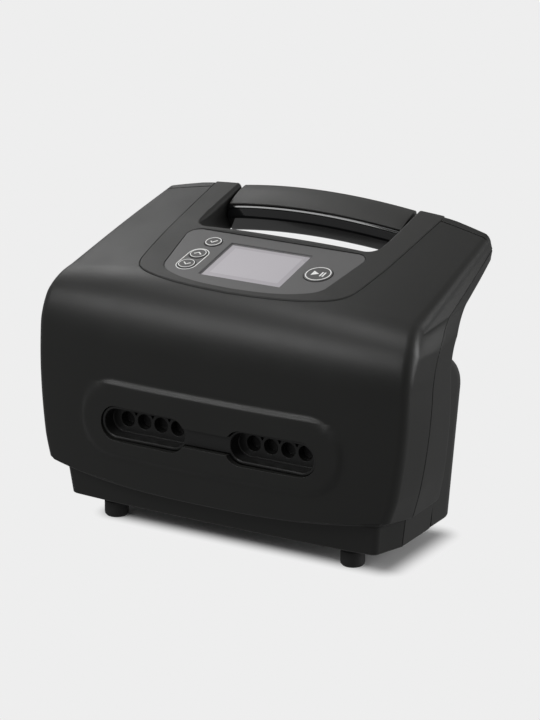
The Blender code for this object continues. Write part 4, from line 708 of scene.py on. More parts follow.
    @staticmethod
    def cut(target: Thing, tool: Thing) -> Thing:
        """Cuts the tool out of the target, shades it smooth and returns it."""
        return Mesher.soften(Mesher.combine(target, tool, "DIFFERENCE"))

    @staticmethod
    def join(name: str, things: list[Thing]) -> Thing:
        """Joins meshes, where they stand, into one object.

        Args:
            name: the new object's name.
            things: the objects, which are used up.

        Returns:
            The object with all their parts and finishes.
        """
        mesh = bmesh.new()
        finishes: list[bpy.types.Material] = []
        for thing in things:
            part = thing.data.copy()
            part.transform(thing.matrix_world)
            shift = {}
            for number, material in enumerate(thing.data.materials):
                if material not in finishes:
                    finishes.append(material)
                shift[number] = finishes.index(material)
            for face in part.polygons:
                face.material_index = shift.get(face.material_index, 0)
            mesh.from_mesh(part)
            bpy.data.objects.remove(thing)
        data = bpy.data.meshes.new(name)
        mesh.to_mesh(data)
        mesh.free()
        for material in finishes:
            data.materials.append(material)
        return Mesher.soften(Mesher.link(name, data))


class Outlines:
    """Flat outlines used by more than one piece."""

    @staticmethod
    def arc(middle: Pair, radius: float, start: float, end: float, steps: int) -> Outline:
        """Points along an arc, both ends with it.

        Args:
            middle: the arc's middle point.
            radius: its radius.
            start: the first angle.
            end: the last angle.
            steps: how many parts it has.

        Returns:
            The open outline.
        """
        angles = [start + (end - start) * k / steps for k in range(steps + 1)]
        return [(middle[0] + radius * cos(a), middle[1] + radius * sin(a)) for a in angles]

    @staticmethod
    def grow(outline: Outline, by: float) -> Outline:
        """Grows a closed outline by an even distance.

        Args:
            outline: the counter-clockwise outline.
            by: the distance, below zero to shrink.

        Returns:
            The grown outline.
        """
        points = [Vector(p) for p in outline]
        grown = []
        for k, point in enumerate(points):
            first = (point - points[k - 1]).normalized()
            second = (points[(k + 1) % len(points)] - point).normalized()
            normal = Vector((first.y, -first.x))
            middle = (normal + Vector((second.y, -second.x))).normalized()
            grown.append(tuple(point + middle * by / max(middle.dot(normal), 0.3)))
        return grown

    @staticmethod
    def distinct(points: Outline) -> Outline:
        """A closed outline without points that lie on the one before."""
        return [p for k, p in enumerate(points) if (Vector(p) - Vector(points[k - 1])).length > 1e-6]

    @staticmethod
    def mirrored(half: Outline) -> Outline:
        """A closed outline from its +X half, given from the bottom to the top."""
        return Outlines.distinct(list(half) + [(-x, y) for x, y in reversed(half)])

    @staticmethod
    def rounded(half_a: float, half_b: float, radius: float, steps: int = 8, middle: Pair = (0, 0)) -> Outline:
        """A rounded rectangle.

        Args:
            half_a: half its first side.
            half_b: half its second side.
            radius: its corners' radius.
            steps: how many parts a corner has.
            middle: its middle point.

        Returns:
            The closed outline.
        """
        points = []
        for quarter, (sa, sb) in enumerate(((1, -1), (1, 1), (-1, 1), (-1, -1))):
            corner = (middle[0] + sa * (half_a - radius), middle[1] + sb * (half_b - radius))
            points += Outlines.arc(corner, radius, pi / 2 * (quarter - 1), pi / 2 * quarter, steps)
        return Outlines.distinct(points)

    @staticmethod
    def circle(radius: float, sides: int = 48, middle: Pair = (0, 0)) -> Outline:
        """A circle about a middle point, as a closed outline."""
        return Outlines.arc(middle, radius, 0, 2 * pi, sides)[:-1]

    @staticmethod
    def spline(points: Outline, parts: int) -> Outline:
        """A smooth open curve through points.

        Args:
            points: the points in order.
            parts: how many equal parts each stretch has.

        Returns:
            The open outline.
        """
        knots = [Vector(p) for p in points]
        knots = [knots[0] * 2 - knots[1]] + knots + [knots[-1] * 2 - knots[-2]]
        curve = []
        for k in range(1, len(knots) - 2):
            a, b, c, d = knots[k - 1:k + 3]
            for t in (n / parts for n in range(parts)):
                curve.append(tuple(0.5 * ((2 * b) + (c - a) * t + (2 * a - 5 * b + 4 * c - d) * t * t
                                          + (3 * b - 3 * c + d - a) * t ** 3)))
        return curve + [tuple(knots[-2])]


class Envelope:
    """The housing's outer skin as a function of station and share of the width, with an even inset."""

    def __init__(self, sizes: BodySizes, steps: Steps) -> None:
        """Keeps the sizes, how finely the skin is divided and the tip's station."""
        self.sizes = sizes
        self.steps = steps
        self.last = steps.lower + steps.bend + steps.top

    def chain(self, corners: Pairs, station: float) -> Vector:
        """A side-view place on a chain.

        Args:
            corners: the chain's foot, bend start, bend end and tip.
            station: how far along it.

        Returns:
            The place as (y, z).
        """
        foot, start, end, tip = (Vector(c) for c in corners)
        steps = self.steps
        if station <= steps.lower:
            return foot.lerp(start, station / steps.lower)
        if station >= steps.lower + steps.bend:
            return end.lerp(tip, (station - steps.lower - steps.bend) / steps.top)
        run, slope = start - foot, tip - end
        scale = ((end.x - foot.x) * slope.y - (end.y - foot.y) * slope.x) / (run.x * slope.y - run.y * slope.x)
        corner = foot + run * scale
        t = (station - steps.lower) / steps.bend
        u, pull = 1 - t, self.sizes.bend_pull
        return (start * u ** 3 + start.lerp(corner, pull) * (3 * u * u * t)
                + end.lerp(corner, pull) * (3 * u * t * t) + end * t ** 3)

    def normal(self, corners: Pairs, station: float, side: int) -> Vector:
        """The outward side-view normal of a chain.

        Args:
            corners: the chain.
            station: how far along it.
            side: 1 for the front or the top, -1 for the rear.

        Returns:
            The normal as (y, z).
        """
        step = 0.4
        low, high = max(station - step, 0), min(station + step, self.last)
        along = (self.chain(corners, high) - self.chain(corners, low)).normalized()
        return Vector((-along.y, along.x)) * side

    def half_width(self, station: float) -> float:
        """Half the body's width.

        Args:
            station: how far along the front chain.

        Returns:
            The half width.
        """
        s, lower = self.sizes, self.steps.lower
        shoulder = lower + self.steps.bend / 2
        t = min(station / lower, 1)
        below = s.foot_half_width + (s.shoulder_half_width - s.foot_half_width) * t * (2 - t) * s.side_share
        if station <= lower:
            return below
        if station <= shoulder:
            return below + (s.shoulder_half_width - below) * min(station - lower, 1)
        t = (station - shoulder) / (self.last - shoulder)
        return s.shoulder_half_width + (s.neck_half_width - s.shoulder_half_width) * t ** s.neck_power

    def crown(self, station: float, share: float) -> float:
        """How far the skin stands over its chain.

        Args:
            station: how far along the chain.
            share: the share of the half width, from the middle.

        Returns:
            The height over the chain.
        """
        s, past = self.sizes, station - self.steps.lower
        t = min(max(past / self.steps.bend, 0), 1)
        tip = max((past - self.steps.bend) / self.steps.top, 0)
        top = s.top_crown + (s.tip_crown - s.top_crown) * tip
        return (s.front_bow + (top - s.front_bow) * t) * (1 - min(abs(share), 1.2) ** s.crown_power)

    def corner_round(self, station: float) -> float:
        """The radius between the front or top and the side.

        Args:
            station: how far along the front chain.

        Returns:
            The radius.
        """
        marks = self.sizes.corner_rounds
        for (low, start), (high, end) in zip(marks, marks[1:]):
            if station <= high:
                return start + (end - start) * max(station - low, 0) / (high - low)
        return marks[-1][1]

    def boss(self, x: float, z: float) -> float:
        """How far the raised field round the sockets stands.

        Args:
            x: the place across the front.
            z: its height.

        Returns:
            The field's height over the front.
        """
        s = self.sizes
        reach = s.boss_half_width - s.boss_half_height
        depth = s.boss_half_height - hypot(max(abs(x) - reach, 0), z - s.boss_z)
        t = min(max(depth / s.boss_bevel, 0), 1)
        return s.boss_height * t * t * (3 - 2 * t)

    def skin(self, station: float, share: float, inset: float = 0.0) -> Vector:
        """A point of the crowned front and top skin.

        Args:
            station: how far along the front chain.
            share: the share of the half width, from the middle.
            inset: how far inside the skin.

        Returns:
            The point.
        """
        s = self.sizes
        base = self.chain(s.front_chain, station)
        x = share * self.half_width(station)
        height = self.crown(station, share) - inset
        if not inset and station < self.steps.lower:
            height += self.boss(x, base.y)
        spot = base + self.normal(s.front_chain, station, 1) * height
        return Vector((x, spot.x, spot.y + s.corner_lift * max(0.0, 1 - station) * abs(share) ** s.crown_power))

    def locate(self, x: float, y: float, inset: float = 0.0) -> Vector:
        """The skin's point over a place on the top.

        Args:
            x: the place across.
            y: the place along the depth.
            inset: how far inside the skin.

        Returns:
            The point.
        """
        low, high = float(self.steps.lower), self.last + 3.0
        for _ in range(self.steps.search):
            middle = (low + high) / 2
            spot = self.skin(middle, x / self.half_width(min(middle, self.last)), inset)
            if spot.y < y:
                low = middle
            else:
                high = middle
        return spot

    def under(self, y: float) -> float:
        """The height of the rear shell's underside.

        Args:
            y: the place along the depth.

        Returns:
            The height.
        """
        low, high = float(self.steps.lower), float(self.last)
        for _ in range(self.steps.search):
            middle = (low + high) / 2
            if self.chain(self.sizes.rear_chain, middle).x < y:
                low = middle
            else:
                high = middle
        return self.chain(self.sizes.rear_chain, low).y

    def parting_z(self, y: float) -> float:
        """The height of the parting line's straight upper stretch at a depth."""
        start, end = (Vector(c) for c in self.sizes.parting_chain[2:])
        return start.y + (end.y - start.y) * (y - start.x) / (end.x - start.x)

    def rear_wall_y(self, z: float) -> float:
        """Where the rear shell's back wall lies.

        Args:
            z: the height.

        Returns:
            The wall's place along the depth.
        """
        foot, bend = (Vector(c) for c in self.sizes.rear_chain[:2])
        t = min(max((z - foot.y) / (bend.y - foot.y), 0), 1)
        return foot.x + (bend.x - foot.x) * t

    def tip_shift(self, station: float, x: float, slanted: bool = True) -> Vector:
        """How far the arms' tips are drawn along the slope, out at the console and back at the outer edge.

        Args:
            station: how far along the chain.
            x: the place across.
            slanted: whether the outer edge is drawn back.

        Returns:
            The shift.
        """
        s = self.sizes
        weight = min(max((station - s.tip_start) / (self.last - s.tip_start), 0), 1) ** 2
        (near, out), (far, back) = s.tip_inner, s.tip_outer
        share = min(max((abs(x) - near) / (far - near), 0), 1)
        reach = out + (back - out) * share if slanted else out
        along = (self.chain(s.front_chain, self.last) - self.chain(s.front_chain, self.last - 1)).normalized()
        side = -s.tip_narrow * share * (1 if x > 0 else -1)
        return Vector((side, along.x * reach, along.y * reach - s.tip_fall * share)) * weight

    @staticmethod
    def quarter(count: int) -> list[float]:
        """The angles of a quarter turn in even steps, both ends with it."""
        return [pi / 2 * step / count for step in range(count + 1)]

    def half_rows(self, station: float, inset: float, lift: float = 0.0) -> tuple[Ring, Ring]:
        """Half a row round the body, cut at the parting line.

        Args:
            station: how far along the chains.
            inset: how far inside the skin.
            lift: how far the row is raised.

        Returns:
            The front half row from the middle, and the rear one to the middle.
        """
        s = self.sizes
        width = self.half_width(station) - inset
        bend = max(self.corner_round(station) - inset, s.edge)
        flat = (width - bend) / (width + inset)
        front = [self.skin(station, share * flat, inset) for share in Steps.marks(self.steps.share_runs)]
        base = self.chain(s.front_chain, station)
        normal = self.normal(s.front_chain, station, 1)
        fade = max(0.0, 1 - station)
        for angle in self.quarter(self.steps.round)[1:]:
            share = (width - bend * (1 - sin(angle))) / (width + inset)
            spot = base + normal * (self.crown(station, share) - inset - bend * (1 - cos(angle)))
            front.append(Vector((share * (width + inset), spot.x, spot.y + s.corner_lift * fade)))
        line = self.chain(s.parting_chain, station)
        drop = s.side_drop * fade
        parting = Vector((width + s.flare, line.x, line.y + drop))
        back = self.chain(s.rear_chain, station)
        turn = self.normal(s.rear_chain, station, -1)
        rear = []
        for angle in self.quarter(self.steps.round - 1):
            spot = back - turn * (inset + s.rear_round * (1 - sin(angle)))
            rear.append(Vector((width - s.rear_round * (1 - cos(angle)), spot.x, spot.y + drop)))
        spot, flats = back - turn * inset, self.steps.flat
        rear += [Vector(((width - s.rear_round) * (1 - k / flats), spot.x, spot.y + drop))
                 for k in range(1, flats + 1)]
        front, rear = self.part(front, parting, rear, inset)
        for row in (front, rear):
            for p in row:
                p.z += lift
                p += self.tip_shift(station, p.x, inset > 0)
        return front, rear

    def part(self, front: Ring, parting: Vector, rear: Ring, inset: float) -> tuple[Ring, Ring]:
        """Ends both half rows at the parting line, half a seam apart and rounded inward on the outside.

        Args:
            front: the front half row.
            parting: the parting line's point.
            rear: the rear half row.
            inset: how far inside the skin they are.

        Returns:
            Both half rows.
        """
        s = self.sizes
        inward = Vector((0, 0, 0)) if inset else Vector((-1, 0, 0))
        ends = []
        for near in (front[-1], rear[0]):
            away = (near - parting).normalized()
            round_off = [parting + away * (s.seam / 2 + s.edge * (1 - sin(a))) + inward * s.edge * (1 - cos(a))
                         for a in self.quarter(2)]
            ends.append([near.lerp(round_off[0], k / 4) for k in (1, 2, 3)] + round_off)
        return front + ends[0], list(reversed(ends[1])) + rear

    def plinth_rows(self, z: float, inset: float, grow: float) -> tuple[Ring, Ring]:
        """The plinth's half rows, with as many points as a body row.

        Args:
            z: their height.
            inset: how far inside the skin.
            grow: how much wider than at the foot.

        Returns:
            The front half row from the middle, and the rear one to the middle.
        """
        s = self.sizes
        width = s.plinth_half_width + grow - inset
        face = s.plinth_front_y - grow + inset
        reach = width - s.plinth_round
        front = [Vector((reach * share, face - s.plinth_bow * (1 - share ** s.crown_power), z))
                 for share in Steps.marks(self.steps.share_runs)]
        front += [Vector((width - s.plinth_round * (1 - sin(a)), face + s.plinth_round * (1 - cos(a)), z))
                  for a in self.quarter(self.steps.round)[1:]]
        side = width + s.plinth_flare
        back, flats = s.rear_foot_y - inset, self.steps.flat
        rear = [Vector((side - s.rear_round * (1 - cos(a)), back - s.rear_round * (1 - sin(a)), z))
                for a in self.quarter(self.steps.round - 1)]
        rear += [Vector(((side - s.rear_round) * (1 - k / flats), back, z)) for k in range(1, flats + 1)]
        return self.part(front, Vector((side, s.parting_foot_y, z)), rear, inset)

    def rows(self, inset: float) -> list[tuple[Ring, Ring]]:
        """All half rows from the plinth's lower edge to the tip.

        Args:
            inset: how far inside the skin.

        Returns:
            Pairs of front and rear half rows.
        """
        s = self.sizes
        lip = s.skirt_z + s.skirt_lip + inset
        rows = [self.plinth_rows(s.plinth_z + dz, inset + (0 if inset else give), 0)
                for dz, give in ((0.0, s.plinth_edge), (s.plinth_edge, 0.0))]
        rows.append(self.plinth_rows(lip, inset, s.plinth_draft))
        if inset:
            return rows + [self.half_rows(k, inset) for k in self.inner_stations()]
        angles = self.quarter(4)
        for angle in angles:
            rows.append(self.half_rows(0.0, s.skirt_round * (1 - sin(angle)), s.skirt_round * (1 - cos(angle))))
        rows += [self.half_rows(k, inset) for k in Steps.marks(self.steps.station_runs)]
        tip = self.half_rows(self.last, inset)
        middle = (tip[0][0].z + tip[1][-1].z) / 2
        for angle in angles:
            draw, back = s.tip_round / 2 * (1 - cos(angle)), -s.tip_round * (1 - sin(angle))
            rows.append(tuple(self.shrunk(half, middle, draw, back) for half in tip))
        return rows

    def inner_stations(self) -> list[float]:
        """Stations of the inside, as many as the outside has rows, clear of the skirt and the tip.

        Returns:
            The stations in order.
        """
        outside = Steps.marks(self.steps.station_runs)
        marks = [k for k in outside if k > 0.6]
        low = 5 + len(outside) - len(marks)
        start = [0.16 + 0.44 * k / low for k in range(low)]
        return start + marks + [outside[-1] + 0.04 * k for k in range(1, 6)]

    @staticmethod
    def shrunk(half: Ring, middle: float, draw: float, back: float) -> Ring:
        """A half row drawn in toward the middle.

        Args:
            half: the half row.
            middle: the middle's height.
            draw: how far it is drawn in.
            back: how far it is moved along Y.

        Returns:
            The new half row.
        """
        row = []
        for p in half:
            away = hypot(p.x, p.z - middle)
            keep = 1 - draw / max(away, draw * 2, 1e-6)
            row.append(Vector((p.x * keep, p.y + back, middle + (p.z - middle) * keep)))
        return row

    def shell(self, name: str, part: int) -> Thing:
        """A closed shell of even wall.

        Args:
            name: the shell's name.
            part: 0 for the front rows, 1 for the rear ones.

        Returns:
            The shell.
        """
        outer, inner = ([self.whole(r[part], part) for r in self.rows(inset)] for inset in (0.0, self.sizes.wall))
        count, size = len(outer[0]), len(outer) * len(outer[0])
        verts, faces = Mesher.layers(outer, inner, True)
        faces += [(k, k + size, k + 1 + size, k + 1) for k in range(count - 1)]
        faces += Mesher.lids(size - count, count, size)
        body = Mesher.add(name, verts, faces)
        mesh = bmesh.new()
        mesh.from_mesh(body.data)
        bmesh.ops.triangulate(mesh, faces=[f for f in mesh.faces if len(f.verts) > 4])
        mesh.to_mesh(body.data)
        mesh.free()
        return body

    @staticmethod
    def whole(half: Ring, part: int) -> Ring:
        """A row from side to side from its half: part 0 starts in the middle, part 1 ends there."""
        if part == 0:
            return [Vector((-p.x, p.y, p.z)) for p in reversed(half[1:])] + half
        return half + [Vector((-p.x, p.y, p.z)) for p in reversed(half[:-1])]


@dataclass(frozen=True)
class Finish:
    """One procedural finish: colours, gloss and how strong each surface effect is."""

    name: str
    colour: Triple
    roughness: float
    metallic: float = 0.0
    coat: float = 0.0
    specular: float = 0.5
    grain: float = 0.0
    grain_scale: float = 1800.0
    mottle: float = 0.04
    wear: float = 0.25
    dust: float = 0.02
    brushed: float = 0.0
    soft_edge: float = 0.0004
    emission: float = 0.0
    alpha: float = 1.0
    transmission: float = 0.0


class Graph:
    """A shader node tree while it is being made."""

    def __init__(self, tree: bpy.types.NodeTree) -> None:
        """Keeps the tree."""
        self.tree = tree

    def feed(self, socket: bpy.types.NodeSocket, value: object) -> None:
        """Feeds an input from another socket, or gives it a value of its own."""
        if isinstance(value, bpy.types.NodeSocket):
            self.tree.links.new(value, socket)
        else:
            socket.default_value = value

    def add(self, kind: str, inputs: dict[str | int, object], **settings: object) -> bpy.types.Node:
        """Adds a node.

        Args:
            kind: its type, without the word ShaderNode.
            inputs: for an input's name or number, a value or the socket that feeds it.
            settings: the node's own properties.

        Returns:
            The node.
        """
        node = self.tree.nodes.new("ShaderNode" + kind)
        for name, value in settings.items():
            setattr(node, name, value)
        for name, value in inputs.items():
            self.feed(node.inputs[name], value)
        return node

    def math(self, operation: str, *terms: object) -> bpy.types.NodeSocket:
        """The result of a Math node on values or sockets."""
        return self.add("Math", dict(enumerate(terms)), operation=operation).outputs["Value"]

    def vector(self, operation: str, *terms: object) -> bpy.types.NodeSocket:
        """The result of a Vector Math node on values or sockets."""
        outputs = self.add("VectorMath", dict(enumerate(terms)), operation=operation).outputs
        return outputs["Value" if operation in ("DOT_PRODUCT", "LENGTH") else "Vector"]

    def noise(self, place: bpy.types.NodeSocket, scale: object, detail: float) -> bpy.types.Node:
        """A noise at a place, by its scale and detail."""
        return self.add("TexNoise", {"Vector": place, "Scale": scale, "Detail": detail})


class Effects:
    """Shader node groups made once and used by every finish."""

    def __init__(self) -> None:
        """Makes the groups."""
        self.grain = self.make_grain()
        self.patina = self.make_patina()
        self.brush = self.make_brush()

    @staticmethod
    def group(name: str, inputs: dict[str, float], outputs: dict[str, str]) -> tuple:
        """A new group with its sockets.

        Args:
            name: the group's name.
            inputs: each input's default by name.
            outputs: each output's kind by name, Float or Vector.

        Returns:
            The graph, its input node and its output node.
        """
        tree = bpy.data.node_groups.new(name, "ShaderNodeTree")
        for label, default in inputs.items():
            socket = tree.interface.new_socket(label, in_out="INPUT", socket_type="NodeSocketFloat")
            socket.default_value = default
        for label, kind in outputs.items():
            tree.interface.new_socket(label, in_out="OUTPUT", socket_type="NodeSocket" + kind)
        return Graph(tree), tree.nodes.new("NodeGroupInput"), tree.nodes.new("NodeGroupOutput")

    def make_grain(self) -> bpy.types.NodeTree:
        """Moulded texture: fine pits and a slow waviness as a normal, and a roughness shift.

        Returns:
            The group.
        """
        graph, start, end = self.group("Moulded grain", {"Scale": 1800.0, "Depth": 0.3, "Edge": 0.0004},
                                       {"Normal": "Vector", "Shift": "Float"})
        place = graph.add("TexCoord", {}).outputs["Object"]
        pits = graph.noise(place, start.outputs["Scale"], 2.0)
        pits.inputs["Roughness"].default_value = 0.65
        wave = graph.noise(place, 26.0, 3.0).outputs["Fac"]
        edge = graph.add("Bevel", {"Radius": start.outputs["Edge"]}, samples=4)
        slow = graph.add("Bump", {"Strength": 0.05, "Distance": 0.0004, "Height": wave,
                                  "Normal": edge.outputs["Normal"]})
        fine = graph.add("Bump", {"Strength": start.outputs["Depth"], "Distance": 0.0001,
                                  "Height": pits.outputs["Fac"], "Normal": slow.outputs["Normal"]})
        graph.feed(end.inputs["Normal"], fine.outputs["Normal"])
        graph.feed(end.inputs["Shift"], graph.math("SUBTRACT", wave, 0.5))
        return graph.tree

    def make_patina(self) -> bpy.types.NodeTree:
        """Masks for rubbed edges, dust that settles on upward faces, and slow mottling.

        Returns:
            The group.
        """
        graph, start, end = self.group("Patina", {"Edge": 0.0004},
                                       {"Worn": "Float", "Dust": "Float", "Mottle": "Float"})
        place = graph.add("TexCoord", {}).outputs["Object"]
        facing = graph.add("NewGeometry", {}).outputs["Normal"]
        edge = graph.add("Bevel", {"Radius": start.outputs["Edge"]}, samples=3)
        turn = graph.vector("DOT_PRODUCT", edge.outputs["Normal"], facing)
        worn = graph.add("MapRange", {"Value": turn, "From Min": 0.995, "From Max": 0.86})
        height = graph.add("SeparateXYZ", {"Vector": facing}).outputs["Z"]
        upward = graph.add("MapRange", {"Value": height, "From Min": 0.3, "From Max": 1.0})
        for label, mask, scale, detail in (("Worn", worn, 240.0, 4.0), ("Dust", upward, 900.0, 3.0)):
            speck = graph.noise(place, scale, detail).outputs["Fac"]
            graph.feed(end.inputs[label], graph.math("MULTIPLY", mask.outputs["Result"], speck))
        graph.feed(end.inputs["Mottle"], graph.noise(place, 14.0, 4.0).outputs["Fac"])
        return graph.tree

    def make_brush(self) -> bpy.types.NodeTree:
        """Fine lines along one axis, for rolled or turned metal.

        Returns:
            The group.
        """
        graph, _, end = self.group("Brushed lines", {}, {"Lines": "Float"})
        place = graph.add("TexCoord", {}).outputs["Object"]
        stretch = graph.add("Mapping", {"Vector": place, "Scale": (40.0, 2500.0, 2500.0)})
        graph.feed(end.inputs["Lines"], graph.noise(stretch.outputs["Vector"], 1.0, 3.0).outputs["Fac"])
        return graph.tree


class Paint:
    """Turns finishes into materials and puts them on pieces."""

    dust_tone = (0.42, 0.40, 0.37)
    coat_roughness = 0.06
    grain_gloss = 0.16
    least_edge = 0.0002

    def __init__(self, effects: Effects) -> None:
        """Keeps the shared groups."""
        self.effects = effects
        self.made: dict[str, bpy.types.Material] = {}

    @staticmethod
    def mixed(graph: Graph, first: object, second: Triple, mask: bpy.types.NodeSocket,
              amount: float) -> bpy.types.NodeSocket:
        """Mixes two colours.

        Args:
            graph: the material's nodes.
            first: a colour, or the socket that gives it.
            second: the other colour.
            mask: where the other colour shows.
            amount: how strongly it shows.

        Returns:
            The mixed colour's socket.
        """
        below = (*first, 1) if isinstance(first, tuple) else first
        factor = graph.math("MULTIPLY", mask, amount)
        mix = graph.add("Mix", {"Factor": factor, "A": below, "B": (*second, 1)}, data_type="RGBA")
        return mix.outputs["Result"]

    def material(self, finish: Finish) -> bpy.types.Material:
        """The material of a finish, made at its first use.

        Args:
            finish: the finish wanted.

        Returns:
            A Principled material fed by the shared groups.
        """
        if finish.name in self.made:
            return self.made[finish.name]
        look = bpy.data.materials.new(finish.name)
        look.use_nodes = True
        graph = Graph(look.node_tree)
        grain = graph.add("Group", {}, node_tree=self.effects.grain)
        for label, value in (("Scale", finish.grain_scale), ("Depth", finish.grain), ("Edge", finish.soft_edge)):
            grain.inputs[label].default_value = value
        patina = graph.add("Group", {}, node_tree=self.effects.patina)
        patina.inputs["Edge"].default_value = max(finish.soft_edge, self.least_edge)
        lighter = tuple(min(c * 1.9 + 0.012, 1) for c in finish.colour)
        darker = tuple(c * 0.55 for c in finish.colour)
        colour = finish.colour
        for label, tone, amount in (("Mottle", darker, finish.mottle * 4), ("Worn", lighter, finish.wear),
                                    ("Dust", self.dust_tone, finish.dust)):
            colour = self.mixed(graph, colour, tone, patina.outputs[label], amount)
        rough = graph.math("MULTIPLY_ADD", grain.outputs["Shift"], self.grain_gloss, finish.roughness)
        if finish.brushed:
            brush = graph.add("Group", {}, node_tree=self.effects.brush)
            rough = graph.math("MULTIPLY_ADD", brush.outputs["Lines"], finish.brushed, rough)
        shader = graph.tree.nodes["Principled BSDF"]
        # Emission paints a glow in the finish's own colour; only the print's finish uses it, as a painted
        # brightening.
        values = {"Base Color": colour, "Roughness": rough, "Normal": grain.outputs["Normal"],
                  "Metallic": finish.metallic, "Coat Weight": finish.coat, "Coat Roughness": self.coat_roughness,
                  "Specular IOR Level": finish.specular, "Alpha": finish.alpha,
                  "Transmission Weight": finish.transmission, "Emission Strength": finish.emission,
                  "Emission Color": (*finish.colour, 1)}
        for label, value in values.items():
            graph.feed(shader.inputs[label], value)
        self.made[finish.name] = look
        return look

    def put(self, thing: Thing, finish: Finish) -> Thing:
        """Gives a piece one finish all over.

        Args:
            thing: the piece.
            finish: the finish.

        Returns:
            The piece.
        """
        if not thing.data.materials:
            thing.data.materials.append(self.material(finish))
        for number in range(len(thing.data.materials)):
            thing.data.materials[number] = self.material(finish)
        return thing


HOUSING = Finish("Housing, moulded black", (0.0125, 0.0128, 0.0118), 0.40, grain=0.35, grain_scale=2400.0)
CONSOLE = Finish("Console, moulded charcoal", (0.0215, 0.0215, 0.0202), 0.50, grain=0.35, grain_scale=2400.0)
CAP = Finish("Handle cap, matte", (0.0385, 0.0385, 0.0368), 0.46, grain=0.30, grain_scale=2600.0)
GRIP = Finish("Grip, polished", (0.006, 0.0062, 0.0066), 0.10, coat=1.0, mottle=0.0, wear=0.05, dust=0.005,
              soft_edge=0.0)
OVERLAY = Finish("Overlay film", (0.122, 0.121, 0.121), 0.44, grain=0.12, grain_scale=3600.0, mottle=0.02,
                 wear=0.1)
KEYCAP = Finish("Key film", (0.088, 0.087, 0.086), 0.40, grain=0.1, grain_scale=3600.0, mottle=0.02)
# Painted glow: the white print emits a little light of its own, so it reads brighter than the lamps alone make it.
PRINT = Finish("Printed white, painted glow", (0.80, 0.80, 0.79), 0.5, mottle=0.02, wear=0.0, dust=0.0, soft_edge=0.0,
               emission=0.22)
PORT = Finish("Port moulding", (0.012, 0.0122, 0.012), 0.34, grain=0.12, mottle=0.02)
PORT_DARK = Finish("Port outlets", (0.004, 0.004, 0.004), 0.5, mottle=0.02)
INNER = Finish("Moulding, plain inside", (0.016, 0.016, 0.016), 0.55, grain=0.2)
LCD = Finish("Display film", (0.520, 0.494, 0.528), 0.30, mottle=0.012, wear=0.0, dust=0.0, soft_edge=0.0)
LCD_FIELD = Finish("Display field", (0.600, 0.574, 0.608), 0.30, mottle=0.012, wear=0.0, dust=0.0, soft_edge=0.0)
GLASS = Finish("Display window edge", (0.16, 0.155, 0.16), 0.25, mottle=0.0, wear=0.0, dust=0.0)
RUBBER = Finish("Rubber", (0.013, 0.013, 0.013), 0.66, grain=0.5, grain_scale=1500.0)
STEEL = Finish("Steel, rolled", (0.50, 0.50, 0.51), 0.30, 1.0, mottle=0.03, brushed=0.18)
ZINC = Finish("Screw, zinc plated", (0.46, 0.46, 0.48), 0.26, 1.0, mottle=0.06, brushed=0.12)
COPPER = Finish("Enamelled copper", (0.60, 0.24, 0.10), 0.28, 0.9, mottle=0.05, brushed=0.2)
BOARD = Finish("Circuit board", (0.012, 0.075, 0.030), 0.35, mottle=0.10, wear=0.4)
CELL = Finish("Battery film", (0.018, 0.070, 0.23), 0.22, coat=0.3, mottle=0.05)
SILICONE = Finish("Silicone hose", (0.62, 0.63, 0.61), 0.35, transmission=0.25, mottle=0.03)
RESIN = Finish("Manifold resin", (0.52, 0.52, 0.50), 0.42, grain=0.15)


